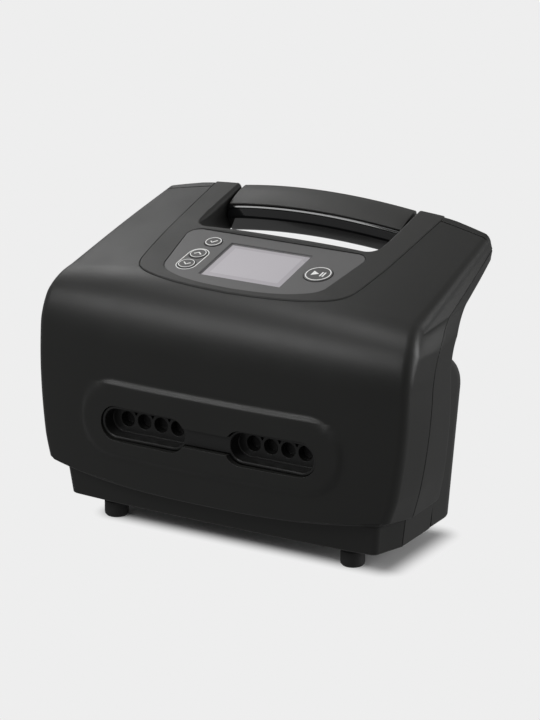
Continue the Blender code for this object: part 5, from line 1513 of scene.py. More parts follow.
class Piece:
    """A named sub-assembly: it builds its pieces, dresses them and reports them."""

    name = "piece"

    def __init__(self, paint: Paint, envelope: Envelope, sizes: Sizes) -> None:
        """Keeps the paint, the housing's skin and the sizes."""
        self.paint = paint
        self.envelope = envelope
        self.sizes = sizes.body
        self.cover = sizes.cover
        self.panel = sizes.panel
        self.console = sizes.console
        self.opening = sizes.opening
        self.handle = sizes.handle
        self.port = sizes.port
        self.feet = sizes.feet
        self.screws = sizes.screws
        self.pieces: list[str] = []

    def place(self, thing: Thing, finish: Finish | None, slot: str, body: str = "housing", *nodes: str) -> Thing:
        """Finishes a piece, hangs it on its body and lets it stand for CAD nodes.

        Args:
            thing: the piece, in the photograph's frame.
            finish: its finish, or None to keep what it has.
            slot: the record's material slot; not used.
            body: the CAD body it rides on.
            nodes: the CAD nodes it replaces.

        Returns:
            The piece.
        """
        thing.data.transform(thing.matrix_world)
        thing.matrix_world = Matrix.Identity(4)
        thing.data.transform(Matrix.Translation((0, DATUM_Y, 0)))
        if finish:
            self.paint.put(thing, finish)
        flats = thing.modifiers.new("Flat faces stay flat", "WEIGHTED_NORMAL")
        flats.keep_sharp = True
        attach(thing, body)
        if nodes:
            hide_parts(*nodes)
        self.pieces.append(thing.name)
        return thing

    def build(self) -> None:
        """Builds and dresses the pieces."""
        raise NotImplementedError

    def report(self) -> None:
        """Logs what was made."""
        LOG.info("%s: %s", self.name, ", ".join(self.pieces))

    def panel_matrix(self) -> Matrix:
        """From the tilted panel's frame to the photograph's frame."""
        return Matrix.Translation((0, self.panel.y, self.panel.z)) @ Matrix.Rotation(self.panel.tilt, 4, "X")

    def panel_up(self) -> Vector:
        """The panel's own upward direction."""
        return Vector((0, -sin(self.panel.tilt), cos(self.panel.tilt)))

    def pin_place(self, x: float) -> Vector:
        """A place on the line of the handle's pins."""
        return Vector((x, self.handle.pin_y, self.handle.z - self.handle.pin_drop))

    def console_outline(self, grow: float, past: float = 0.0) -> Outline:
        """The console's outer edge seen from above.

        Args:
            grow: how far outside the console the outline runs.
            past: how far it runs past the tip.

        Returns:
            The closed outline.
        """
        s = self.console
        half = Outlines.spline([(s.half_width * a, s.front_y + s.length * b) for a, b in s.edge_shares], 5)
        if past:
            half.append((half[-1][0], half[-1][1] + past))
        half.append((0, half[-1][1]))
        outline = Outlines.mirrored(half)
        return Outlines.grow(outline, grow) if grow else outline

    def tip_cut(self, side: int) -> Thing:
        """What is taken off an arm's tip, which runs back toward its outer edge.

        Args:
            side: -1 for left, 1 for right.

        Returns:
            The tool.
        """
        (start, y), (end, slope) = self.sizes.tip_line
        outline = [(start, y), (end, y + (end - start) * slope), (end, y + start / 2), (start, y + start / 2)]
        if side < 0:
            outline = [(-a, b) for a, b in reversed(outline)]
        return Mesher.prism("tip", outline, ((self.sizes.skirt_z, 0), (self.sizes.skirt_z + 1, 0)))

    def tip_groove(self, side: int) -> Thing:
        """A shallow groove across a shell's tip, from the console's seam to the outer edge.

        Args:
            side: -1 for left, 1 for right.

        Returns:
            The tool.
        """
        body, skin = self.sizes, self.envelope
        station = skin.last - body.tip_band / body.tip_step
        start, end = self.console.half_width + body.seam, skin.half_width(skin.last) + body.tip_run_out
        across = [side * (start + (end - start) * k / 12) for k in range(13)]
        path = [skin.skin(station, x / skin.half_width(station)) + skin.tip_shift(station, x) for x in across]
        half, deep = body.seam, body.edge * 2
        section = [(half, deep), (-half, deep), (-half, -deep), (half, -deep)]
        return Mesher.sweep("tip_groove", path, section, False, [self.panel_up()] * len(path))

    def seam_groove(self, grow: float, half: float, inset: float = 0.0) -> Thing:
        """A small diamond run along the console's edge on the skin, to soften both sides of the seam.

        Args:
            grow: how far outside the console it runs.
            half: half the diamond's width.
            inset: how far inside the skin it runs.

        Returns:
            The tool.
        """
        s = self.console
        path = [Vector((x, y, self.envelope.locate(x, y, inset).z))
                for x, y in self.console_outline(grow, s.past) if y <= s.groove_end]
        start = max(range(len(path)), key=lambda k: (path[k] - path[k - 1]).length)
        path = path[start:] + path[:start]
        path = [path[0] + (path[0] - path[1]).normalized() * s.past] + path
        path.append(path[-1] + (path[-1] - path[-2]).normalized() * s.past)
        section = [(half, 0.0), (0.0, half), (-half, 0.0), (0.0, -half)]
        return Mesher.sweep("groove", path, section, False, [self.panel_up()] * len(path))


class Housing(Piece):
    """Front shell, rear shell and rear cover."""

    name = "housing"

    def build(self) -> None:
        """Builds the three mouldings."""
        body, cover = self.sizes, self.cover
        front = self.envelope.shell("front_shell_fine", 0)
        hole = self.console_outline(body.seam / 2, self.console.past)
        Mesher.cut(front, Mesher.prism("hole", hole, self.console.through))
        Mesher.cut(front, self.seam_groove(body.seam / 4, body.edge))
        for side in Side:
            Mesher.cut(front, self.tip_groove(side.value))
        Mesher.cut(front, Mesher.prism("hole", self.port.outline(self.port.gap), self.port.hole_levels, "Y"))
        well = self.opening.outline(self.opening.clear, self.opening.past_y)
        window = Outlines.rounded(*cover.window_half, cover.window_round, 6, (0, cover.window_z))
        rear = self.envelope.shell("rear_shell_fine", 1)
        Mesher.cut(rear, Mesher.prism("hole", well, self.console.through))
        Mesher.cut(rear, Mesher.prism("hole", window, cover.window_levels, "Y"))
        for shell, node in ((front, "front_shell"), (rear, "rear_shell")):
            for side in Side:
                Mesher.cut(shell, self.tip_cut(side.value))
            self.place(shell, HOUSING, "housing", "housing", node)
        self.build_cover()

    def cover_row(self, z: float, inset: float) -> Ring:
        """The rear cover's outline at a height, from one open edge round the back to the other.

        Args:
            z: the height.
            inset: how far inside the cover's skin.

        Returns:
            The row.
        """
        c = self.cover
        t = min(max((z - c.low) / (c.high - c.low), 0), 1)
        width, back = c.half_width + c.draft * t - inset, c.back + c.lean * t - inset
        slope = min(max((z - c.front_z[0]) / (c.front_z[1] - c.front_z[0]), 0), 1)
        front = c.front[0] + (c.front[1] - c.front[0]) * slope + c.gap
        if z > c.high:
            fall = min((z - c.high) / (c.crown - inset), 1)
            back = front + c.lip + (back - front - c.lip) * (1 - fall ** 2) ** 0.5
        corner = min(c.corner - inset, (back - front) * 0.9)
        half = [Vector((width, front, z))]
        half += [Vector((width - corner * (1 - cos(a)), back - corner * (1 - sin(a)), z))
                 for a in Envelope.quarter(12)]
        half += [Vector(((width - corner) * (1 - k / 8), back, z)) for k in range(1, 9)]
        return half + [Vector((-p.x, p.y, p.z)) for p in reversed(half[:-1])]

    def cover_shell(self) -> Thing:
        """The rear cover without its holes.

        Returns:
            The shell.
        """
        c, wall = self.cover, self.sizes.wall
        start = c.low + c.edges[-1][0]
        heights = [(c.low + up, give) for up, give in c.edges]
        heights += [(start + (c.high - start) * k / 16, 0.0) for k in range(1, 17)]
        heights += [(c.high + c.crown * sin(angle), 0.0) for angle in Envelope.quarter(20)[1:]]
        outer = [self.cover_row(z, give) for z, give in heights]
        span = [max(c.low + wall, min(z, c.high + c.crown - wall)) for z, _ in heights]
        inner = [self.cover_row(z + k * 1e-7, wall) for k, z in enumerate(span)]
        count, size = len(outer[0]), len(outer) * len(outer[0])
        verts, faces = Mesher.layers(outer, inner, True)
        faces += Mesher.lids(0, count, size) + Mesher.lids(size - count, count, size)
        return Mesher.add("rear_cover_fine", verts, faces)

    def build_cover(self) -> None:
        """The deep rear cover with vents, screw wells and the inlet's hole."""
        c = self.cover
        cover = self.cover_shell()
        slots = []
        for side in Side:
            for k in range(c.vents):
                x = side.value * c.vent_middle + c.vent_pitch * (k - (c.vents - 1) / 2)
                slot = Outlines.rounded(*c.vent_half, c.vent_round, 5, (x, c.vent_z))
                slots.append(Mesher.prism("vent", slot, c.vent_levels, "Y"))
        Mesher.cut(cover, Mesher.join("vents", slots))
        places = [(side.value * c.well_x, z) for side in Side for z in c.well_z]
        wells = [Outlines.circle(c.well_radius, 32, place) for place in places]
        Mesher.cut(cover, Mesher.join("wells", [Mesher.prism("well", ring, c.hole_levels, "Y") for ring in wells]))
        a, b = c.inlet_half
        corners = ((-a, -b), (a, -b), (a, b - c.inlet_corner), (a - c.inlet_corner, b), (c.inlet_corner - a, b),
                   (-a, b - c.inlet_corner))
        inlet = [(c.inlet[0] + x, c.inlet[1] + z) for x, z in corners]
        Mesher.cut(cover, Mesher.prism("inlet_hole", inlet, c.hole_levels, "Y"))
        tubes = []
        for place, ring in zip(places, wells):
            tube = Mesher.prism("tube", Outlines.circle(c.tube_radius, 32, place), c.tube_levels, "Y")
            tubes.append(Mesher.cut(tube, Mesher.prism("bore", ring, c.bore_levels, "Y")))
        whole = Mesher.join("rear_cover_fine", [cover] + tubes)
        self.place(whole, HOUSING, "housing", "housing", "rear_cover")


class Console(Piece):
    """The lighter frame in the middle of the top, with its tray and the wall of the hand opening."""

    name = "console"

    def slab(self, high: float, low: float) -> Thing:
        """The crowned top as a slab between two depths under the skin.

        Args:
            high: the upper side's inset, below zero to stand proud.
            low: the lower side's inset.

        Returns:
            The slab.
        """
        s = self.console
        first, last = s.slab_start, self.envelope.last + s.slab_past
        shares = [(2 * j / s.slab_columns - 1) * s.slab_share for j in range(s.slab_columns + 1)]
        stations = [first + (last - first) * k / s.slab_rows for k in range(s.slab_rows + 1)]
        top, under = ([[self.envelope.skin(station, share, inset) for share in shares] for station in stations]
                      for inset in (high, low))
        return Mesher.slab("console_fine", top, under)

    def wall_strip(self, inner: Outline, outer: Outline, sunk: float) -> Thing:
        """An upright wall between two open outlines, from the rear shell's underside up into the slab.

        Args:
            inner: the wall's inner outline.
            outer: its outer outline, point for point.
            sunk: how far under the skin it ends.

        Returns:
            The wall.
        """
        rings = []
        for pair in zip(inner, outer):
            low = [Vector((x, y, self.envelope.under(y))) for x, y in pair]
            top = [Vector((x, y, self.envelope.locate(x, y).z - sunk)) for x, y in pair]
            rings.append([*low, top[1], top[0]])
        return Mesher.skin("wall", rings)

    def build(self) -> None:
        """Builds the console and cuts its tray, window and key holes."""
        s, opening = self.console, self.opening
        body = self.slab(-s.proud, s.thick)
        Mesher.combine(body, Mesher.prism("edge", self.console_outline(0.0), s.through), "INTERSECT")
        inner, outer = (opening.outline(grow, s.tip_y - s.wall_end) for grow in (0.0, opening.wall))
        Mesher.combine(body, self.wall_strip(inner, outer, s.proud * 2), "UNION")
        for side in Side:
            Mesher.combine(body, self.tip_lip(side.value), "UNION")
        Mesher.cut(body, Mesher.prism("opening", opening.outline(0.0, s.tip_y + s.past), s.through))
        Mesher.cut(body, self.opening_fillet())
        Mesher.cut(body, self.seam_groove(0.0, s.edge, -s.proud))
        for side in Side:
            place = self.pin_place(side.value * (opening.half_width - self.handle.hole_start))
            Mesher.cut(body, Mesher.lathe("pin_hole", self.handle.pin_hole, place, Vector((side.value, 0, 0))))
        for tool in self.tray_tools():
            tool.data.transform(self.panel_matrix())
            Mesher.cut(body, tool)
        self.place(body, CONSOLE, "housing", "housing", "top_console")

    def tray_tools(self) -> list[Thing]:
        """The tray with its small chamfer, the display window and the key holes, in the panel's frame.

        Returns:
            The tools.
        """
        p = self.panel
        tools = [Mesher.prism("tray", p.outline(p.gap), ((-p.thick, 0), *p.tray_mouth))]
        seat = Outlines.rounded(p.window_half_width + p.window_seat, p.window_half_height + p.window_seat,
                                p.seat_round, 4)
        holes = [Outlines.circle(key.radius + p.key_clear, 48, (key.x, key.y)) for key in KEYS]
        return tools + [Mesher.prism("hole", outline, p.through) for outline in [seat] + holes]

    def opening_fillet(self) -> Thing:
        """The tool that rounds the hand opening's upper edge, more along the arms than at the front.

        Returns:
            The tool.
        """
        s = self.console
        path = [self.envelope.locate(x, y, -s.proud) for x, y in self.opening.outline(0.0, s.tip_y + s.past / 2)]
        up = self.panel_up()
        rings = []
        for k, spot in enumerate(path):
            along = (path[min(k + 1, len(path) - 1)] - path[max(k - 1, 0)]).normalized()
            across = along.cross(up).normalized()
            share = min(max((spot.y - s.fillet_run[0]) / (s.fillet_run[1] - s.fillet_run[0]), 0), 1)
            radius = s.fillet[0] + (s.fillet[1] - s.fillet[0]) * share * share * (3 - 2 * share)
            over = radius * 0.2
            section = [(radius, over)] + [(radius * (1 - sin(a)), radius * (cos(a) - 1))
                                          for a in Envelope.quarter(10)] + [(-over, -radius), (-over, over)]
            rings.append([spot + across * a + up * b for a, b in section])
        return Mesher.skin("fillet", rings)

    def tip_lip(self, side: int) -> Thing:
        """The part of an arm's tip that reaches down to the parting line.

        Args:
            side: -1 for left, 1 for right.

        Returns:
            The lip.
        """
        s, inner = self.console, self.opening.half_width
        start, end = s.tip_y - s.lip_reach, s.tip_y - s.lip_end
        edge = [p for p in self.console_outline(-s.lip_inset) if p[0] > s.half_width / 2 and start < p[1] < end]
        outline = [(inner, start)] + edge + [(edge[-1][0] - s.lip_draft, end), (inner, end)]
        verts = [Vector((side * x, y, self.envelope.parting_z(y) + s.lip_clear)) for x, y in outline]
        verts += [Vector((side * x, y, self.envelope.locate(x, y).z - s.lip_sunk)) for x, y in outline]
        count = len(outline)
        faces = Mesher.bands(2, count, False) + [tuple(range(count)), tuple(range(count, 2 * count))]
        return Mesher.add("lip", verts, faces)


@dataclass(frozen=True)
class PrintSizes:
    """The prints' widths in metres and their strokes in shares of a key's radius."""

    depth: float = 0.00006
    sunk: float = 0.0001
    line: float = 0.00095
    tick: Pairs = ((-0.34, 0.02), (-0.08, -0.26), (0.38, 0.32))
    chevron: Pairs = ((-0.42, -0.18), (0.0, 0.22), (0.42, -0.18))
    wedge: Pairs = ((-0.44, -0.30), (0.06, 0.0), (-0.44, 0.30))
    bars: Pair = (0.24, 0.44)
    bar_half: Pair = (0.055, 0.29)
    bar_round: float = 0.0001
    check_ring: Pair = (0.93, 0.0006)
    arrow_ring: Pair = (0.92, 0.00045)
    play_ring: Pair = (0.90, 0.0007)
    pill_gap: float = 0.0011
    pill_line: float = 0.0006


@dataclass(frozen=True)
class KeySizes:
    """A key's section under and over the overlay, in metres."""

    crown: float = 0.0006
    low: float = -0.0068
    flange: float = -0.0060
    flange_top: float = -0.0052
    stem: float = 0.0018
    flange_width: float = 0.0008
    shoulder: Pairs = ((0.0, 0.45), (-0.00008, 0.72), (-0.0003, 0.92))
    flats: Pair = (0.9, 0.6)


@dataclass(frozen=True)
class DisplaySizes:
    """The display module's edges and films, in metres, as (grow, height) or (inset, round) pairs."""

    depth: float = 0.0045
    carrier: Pair = (0.003, 0.0006)
    step: float = 0.0001
    bezel: Pairs = ((-0.0001, 0.0002), (-0.0006, 0.0003), (-0.0012, 0.0))
    bezel_round: float = 0.0009
    film: Pair = (0.0011, 0.0004)
    film_drop: float = 0.00015
    field: Pair = (0.0052, 0.0050)
    field_round: float = 0.0003
    field_lift: float = 0.0004
    field_levels: Pair = (0.0003, 0.00009)


class ControlPanel(Piece):
    """Overlay, display and the four keys with their printed icons."""

    name = "control panel"
    prints = PrintSizes()
    key = KeySizes()
    display = DisplaySizes()
    overlay_edge = ((-0.00018, 0), (-0.00006, 0.00006), (0.0, 0.00022))
    window_edge = ((-0.01, 0), (-0.0003, 0), (0.0003, -0.0006))
    hole_edge = ((-0.01, 0), (-0.0002, 0), (0.0004, -0.0006))

    def tilted(self, name: str, things: list[Thing]) -> Thing:
        """Joins pieces and bakes them from the panel's frame into the photograph's.

        Args:
            name: the joined piece's name.
            things: the pieces.

        Returns:
            The joined piece.
        """
        whole = Mesher.join(name, things)
        whole.data.transform(self.panel_matrix())
        return whole

    def ring(self, key: Key, size: Pair, height: float) -> Thing:
        """A printed ring on a key.

        Args:
            key: the key.
            size: the outer radius as a share of the key's, and the ring's width.
            height: the surface it is printed on.

        Returns:
            The ring.
        """
        outside = key.radius * size[0]
        inside = outside - size[1]
        low, high = height - self.prints.sunk, height + self.prints.depth
        rings = [[Vector((x, y, z)) for x, y in Outlines.circle(r, 64, (key.x, key.y))]
                 for r, z in ((inside, low), (outside, low), (outside, high), (inside, high))]
        return Mesher.hoop("ring", rings)

    def stroke(self, points: Outline, width: float, height: float, closed: bool = False) -> Thing:
        """A printed line of even width.

        Args:
            points: the points it runs through.
            width: its width.
            height: the surface it is printed on.
            closed: whether it joins its own start.

        Returns:
            The line.
        """
        low, high = -self.prints.sunk, self.prints.depth
        section = [(width / 2, low), (width / 2, high), (-width / 2, high), (-width / 2, low)]
        path = [Vector((x, y, height)) for x, y in points]
        return Mesher.sweep("stroke", path, section, closed, [UP] * len(path))

    def icon(self, key: Key, height: float) -> list[Thing]:
        """The printed pieces of a key's icon.

        Args:
            key: the key.
            height: the top of its cap.

        Returns:
            The pieces.
        """
        p, r = self.prints, key.radius

        def spots(shares: Pairs, turn: int = 1) -> Outline:
            """Places on the key from shares of its radius."""
            return [(key.x + r * a, key.y + turn * r * b) for a, b in shares]

        if key.icon is Icon.CHECK:
            return [self.stroke(spots(p.tick), p.line, height), self.ring(key, p.check_ring, height)]
        if key.icon in (Icon.UP, Icon.DOWN):
            chevron = spots(p.chevron, 1 if key.icon is Icon.UP else -1)
            return [self.stroke(chevron, p.line, height), self.ring(key, p.arrow_ring, height)]
        levels = ((height - p.sunk, 0), (height + p.depth, 0))
        bars = [Outlines.rounded(r * p.bar_half[0], r * p.bar_half[1], p.bar_round, 2, (key.x + r * a, key.y))
                for a in p.bars]
        wedge = Mesher.prism("wedge", spots(p.wedge), levels)
        return [wedge, self.ring(key, p.play_ring, height)] + [Mesher.prism("bar", bar, levels) for bar in bars]

    def build_keys(self) -> None:
        """Builds each key: cap, flange and stem in one turned body, and its icon."""
        k = self.key
        for key in KEYS:
            r = key.radius
            wide = r + k.flange_width
            profile = [(0, k.low), (k.stem, k.low), (k.stem, k.flange), (wide, k.flange), (wide, k.flange_top),
                       (r, k.flange_top)]
            profile += [(r + out, k.crown * share) for out, share in k.shoulder]
            profile += [(r * k.flats[0], k.crown), (r * k.flats[1], k.crown), (0, k.crown)]
            cap = Mesher.lathe(key.node + "_cap", profile, Vector((key.x, key.y, 0)), UP, 72)
            prints = [self.paint.put(piece, PRINT) for piece in self.icon(key, k.crown)]
            whole = self.tilted(key.node + "_fine", [self.paint.put(cap, KEYCAP)] + prints)
            self.place(whole, None, "buttons", key.node, key.node)

    def build(self) -> None:
        """Builds the overlay, the display and the keys."""
        panel = self.panel
        overlay = Mesher.prism("overlay", panel.outline(0.0), ((panel.gap - panel.thick, 0), *self.overlay_edge))
        window = Outlines.rounded(panel.window_half_width, panel.window_half_height, panel.window_round, 6)
        Mesher.cut(overlay, Mesher.prism("window", window, self.window_edge))
        for key in KEYS:
            hole = Outlines.circle(key.radius + panel.gap, 72, (key.x, key.y))
            Mesher.cut(overlay, Mesher.prism("hole", hole, self.hole_edge))
        pieces = [self.paint.put(overlay, OVERLAY), self.paint.put(self.key_pill(), PRINT)]
        whole = self.tilted("control_overlay_fine", pieces)
        self.place(whole, None, "overlay", "housing", "control_overlay")
        self.build_display()
        self.build_keys()

    def key_pill(self) -> Thing:
        """The printed pill round the up and down keys, on the overlay.

        Returns:
            The pill.
        """
        up, down = KEYS[1], KEYS[2]
        reach = up.radius + self.prints.pill_gap
        along = Vector((up.x - down.x, up.y - down.y)).normalized()
        across = Vector((along.y, -along.x))
        points = []
        for key, start in ((up, 0.0), (down, pi)):
            for a, b in Outlines.arc((0, 0), reach, start, start + pi, 24):
                points.append(tuple(Vector((key.x, key.y)) + across * a + along * b))
        return self.stroke(points, self.prints.pill_line, 0.0, True)

    def build_display(self) -> None:
        """The display module: carrier, bevelled window edge and the film with its inner field."""
        d, thick = self.display, self.panel.thick
        a, b = self.panel.window_half_width, self.panel.window_half_height
        top = -self.panel.glass_depth
        out, corner = d.carrier
        carrier = Mesher.prism("carrier", Outlines.rounded(a + out, b + out, corner, 3),
                               ((-thick - d.depth, 0), (-thick - d.step, 0)))
        edges = [(d.bezel[0][0], -thick)] + [(grow, top + up) for grow, up in d.bezel] + [(d.bezel[-1][0], -thick)]
        rings = [[Vector((x, y, height))
                  for x, y in Outlines.rounded(a + grow, b + grow, d.bezel_round + grow / 2, 4)]
                 for grow, height in edges]
        inset, corner = d.film
        film = Mesher.prism("film", Outlines.rounded(a - inset, b - inset, corner, 3),
                            ((-thick - d.step * 2, 0), (top - d.film_drop, 0)))
        field = Outlines.rounded(a - d.field[0], b - d.field[1], d.field_round, 3, (0, d.field_lift))
        area = Mesher.prism("field", field, tuple((top - drop, 0) for drop in d.field_levels))
        pieces = ((carrier, GLASS), (Mesher.hoop("bezel", rings), GLASS), (film, LCD), (area, LCD_FIELD))
        whole = self.tilted("display_module_fine", [self.paint.put(thing, finish) for thing, finish in pieces])
        self.place(whole, None, "display", "housing", "display_module")


class Handle(Piece):
    """Matte cap over the polished grip, between the console's arms."""

    name = "handle"

    def section(self, x: float, outline: Outline) -> Ring:
        """A section placed across the handle.

        Args:
            x: the place across.
            outline: (depth, height) pairs.

        Returns:
            The ring.
        """
        h, slope = self.handle, self.panel.tilt
        share = 1 - (x / self.opening.half_width) ** 2
        return [Vector((x, h.y - h.bow * share + a * cos(slope) - b * sin(slope),
                        h.z + h.rise * share + a * sin(slope) + b * cos(slope))) for a, b in outline]

    def bar(self, name: str, outline: Outline, reach: float, steps: int = 48) -> Thing:
        """A bar through sections across the opening, with softened ends.

        Args:
            name: the bar's name.
            outline: its section.
            reach: how far it runs to each side.
            steps: how many parts it has.

        Returns:
            The bar.
        """
        soft = self.handle.end_soft
        ends = [(-reach, soft), (-reach + soft * 0.3, soft * 0.3), (-reach + soft, 0)]
        spots = ends + [(reach * (2 * k / steps - 1), 0.0) for k in range(2, steps - 1)]
        spots += [(-x, give) for x, give in reversed(ends)]
        rings = [self.section(x, Outlines.grow(outline, -give) if give else outline) for x, give in spots]
        return Mesher.skin(name, rings)

    def cap_outline(self) -> Outline:
        """The cap's section: flat below, thin at the front and softly crowned toward the thicker rear.

        Returns:
            The closed outline.
        """
        h = self.handle
        half, edge, nose = h.cap_depth / 2, h.cap_edge, h.cap_edge / 3
        front, rear = h.cap_front, h.cap_thick - h.cap_drop
        low = h.cap_low
        points = [(-half + low[0], 0), (half - low[1], 0), (half, low[1])]
        points += [(half - edge * (1 - cos(a)), rear - edge * (1 - sin(a))) for a in Envelope.quarter(8)[1:-1]]
        reach = half - edge
        for share in (k / 12 for k in range(13)):
            height = rear + (front - rear) * share + h.cap_crown * 4 * share * (1 - share)
            points.append((reach - (reach + half - nose) * share, height))
        points += [(-half + nose * (1 - sin(a)), front - nose * (1 - cos(a))) for a in Envelope.quarter(5)[1:-1]]
        return points + [(-half, low[2])]

    def grip_outline(self) -> Outline:
        """The grip's section: a bead under the cap's edge, a tilted face below it and a deep rounded bar.

        Returns:
            The closed outline.
        """
        h = self.handle
        front, top, low, half = -h.cap_depth / 2, -h.gap, -h.grip_thick, h.grip_depth / 2
        points = [(front + a * h.bead, top + b * h.bead) for a, b in h.bead_section]
        points += [(front - h.brow + a, top - h.brow_drop + b) for a, b in h.brow_section]
        run, rise = h.foot_round
        points += [(front - h.foot_back + run * (1 - cos(a)), low + rise - rise * sin(a))
                   for a in (0, pi / 9, 2 * pi / 9, 3 * pi / 9, 4 * pi / 9, pi / 2)]
        run, rise = h.heel_round
        points += [(half - run + run * sin(a), low + rise * (1 - cos(a))) for a in Envelope.quarter(4)[1:]]
        run = h.back_round
        return points + [(half - run + run * cos(a), top - run + run * sin(a)) for a in Envelope.quarter(3)]

    def build(self) -> None:
        """Builds the cap, the grip and its pins."""
        h = self.handle
        reach = self.opening.half_width - h.gap
        cap = self.bar("handle_cap_fine", self.cap_outline(), reach - h.cap_gap)
        self.place(cap, CAP, "grip", "housing", "handle_cap")
        pieces = [self.bar("grip", self.grip_outline(), reach)]
        for side in Side:
            place = self.pin_place(side.value * (self.opening.half_width - h.pin_inset))
            pieces.append(Mesher.lathe("pin", h.pin, place, Vector((side.value, 0, 0))))
        self.place(Mesher.join("handle_grip_fine", pieces), GRIP, "grip", "housing", "handle_grip")


class PortBlock(Piece):
    """The two air sockets joined by their bridge, in one dark moulding."""

    name = "port block"

    def pill(self, side: int, grow: float) -> Outline:
        """A socket's pill seen from the front, grown by an even distance."""
        p = self.port
        half = p.half_height + grow
        return Outlines.rounded(p.half_width + grow, half, half, 14, (side * p.x, p.z))

    def outlet_places(self, side: int) -> list[float]:
        """Where a socket's outlets stand from left to right."""
        p = self.port
        return [side * p.x + p.pitch * (k - (p.outlets - 1) / 2) for k in range(p.outlets)]

    def outlets(self, side: int, profile: Pairs, y: float) -> Thing:
        """One turned tool for each of a socket's outlets.

        Args:
            side: -1 for left, 1 for right.
            profile: the tool's (radius, height) pairs.
            y: where they start.

        Returns:
            The tools in one.
        """
        return Mesher.join("outlets", [Mesher.lathe("outlet", profile, Vector((x, y, self.port.z)), REARWARD, 40)
                                       for x in self.outlet_places(side)])

    def notches(self, side: int) -> Thing:
        """Small keyways in the socket's floor, over the webs between the outlets.

        Args:
            side: -1 for left, 1 for right.

        Returns:
            The tools in one.
        """
        p = self.port
        low, top = (p.z + p.half_height * share for share in p.notch_shares)
        levels = ((p.floor_y - p.notch[0], -p.seam), (p.floor_y + p.notch[1], 0))
        tools = []
        for x in self.outlet_places(side)[:-1]:
            middle = x + p.pitch / 2
            outline = [(middle, low), (middle + p.notch_half, top), (middle - p.notch_half, top)]
            tools.append(Mesher.prism("notch", outline, levels, "Y"))
        return Mesher.join("notches", tools)

    def tongue(self) -> Thing:
        """The bridge between the sockets, its ends hollowed round their rims.

        Returns:
            The bridge.
        """
        p = self.port
        bridge = Outlines.rounded(p.x - p.half_width / 2, p.bridge_half_height, p.bridge_corner, 4, (0, p.z))
        levels = [(p.bridge_y + up, inset) for up, inset in p.bridge_edge] + [(p.rim_y + p.bridge_sunk, 0)]
        tongue = Mesher.prism("bridge", bridge, levels, "Y")
        low, start, high = p.hollow
        levels = ((p.bridge_y - low, -p.hollow_flare), (p.bridge_y + start, 0), (p.rim_y + high, 0))
        for side in Side:
            Mesher.cut(tongue, Mesher.prism("end", self.pill(side.value, p.rim_width), levels, "Y"))
        return tongue

    def build(self) -> None:
        """Builds the block, its pockets, outlets, notches, galleries and barbs."""
        p = self.port
        levels = [(p.rim_y + up, inset) for up, inset in p.rim_edge] + [(p.floor_y + p.back, 0)]
        body = Mesher.prism("port", p.outline(0.0), levels, "Y")
        flange = Mesher.prism("flange", p.outline(p.rim), ((p.flange_y, 0), (p.flange_y + p.back, 0)), "Y")
        Mesher.combine(body, flange, "UNION")
        Mesher.combine(body, self.tongue(), "UNION")
        levels = [(p.rim_y + up, inset) for up, inset in p.mouth_edge]
        levels += [(p.floor_y + up, inset) for up, inset in p.floor_edge]
        bore = [(p.outlet_radius + out, up) for out, up in p.outlet_edge]
        bore.append((p.outlet_radius * p.outlet_taper, p.back + p.gallery_depth - p.gallery_wall))
        for side in Side:
            Mesher.cut(body, Mesher.prism("socket", self.pill(side.value, 0.0), levels, "Y"))
            Mesher.cut(body, self.outlets(side.value, bore, p.floor_y))
            Mesher.cut(body, self.notches(side.value))
        pieces = [self.paint.put(body, PORT)]
        for side in Side:
            pieces += self.gallery(side.value)
        self.place(Mesher.join("port_block_fine", pieces), None, "ports", "housing", "port_block")

    def gallery(self, side: int) -> list[Thing]:
        """The air gallery behind a socket, its barb and the seals in the outlets.

        Args:
            side: -1 for left, 1 for right.

        Returns:
            The pieces, with their finishes.
        """
        p = self.port
        back = p.floor_y + p.back
        end = back + p.gallery_depth
        room = Outlines.rounded(p.half_width - p.gallery_wall, p.half_height - p.gallery_wall / 2, p.rim, 5,
                                (side * p.x, p.z))
        soft = p.gallery_soft
        box = Mesher.prism("gallery", room, ((back - p.gap, 0), (end - soft, 0), (end, soft)), "Y")
        bore = ((p.outlet_radius, -0.004), (p.outlet_radius * p.outlet_taper, p.gallery_depth - p.gallery_wall))
        Mesher.cut(box, self.outlets(side, bore, back))
        barb = Mesher.lathe("barb", p.barb, Vector((side * p.x, end - p.gap, p.z)), REARWARD)
        seal = [(0, 0)] + [(p.outlet_radius + out, up) for out, up in p.seal] + [(0, p.seal[-1][1])]
        seals = self.outlets(side, seal, p.floor_y + p.seal_depth)
        return [self.paint.put(box, PORT), self.paint.put(barb, PORT), self.paint.put(seals, PORT_DARK)]


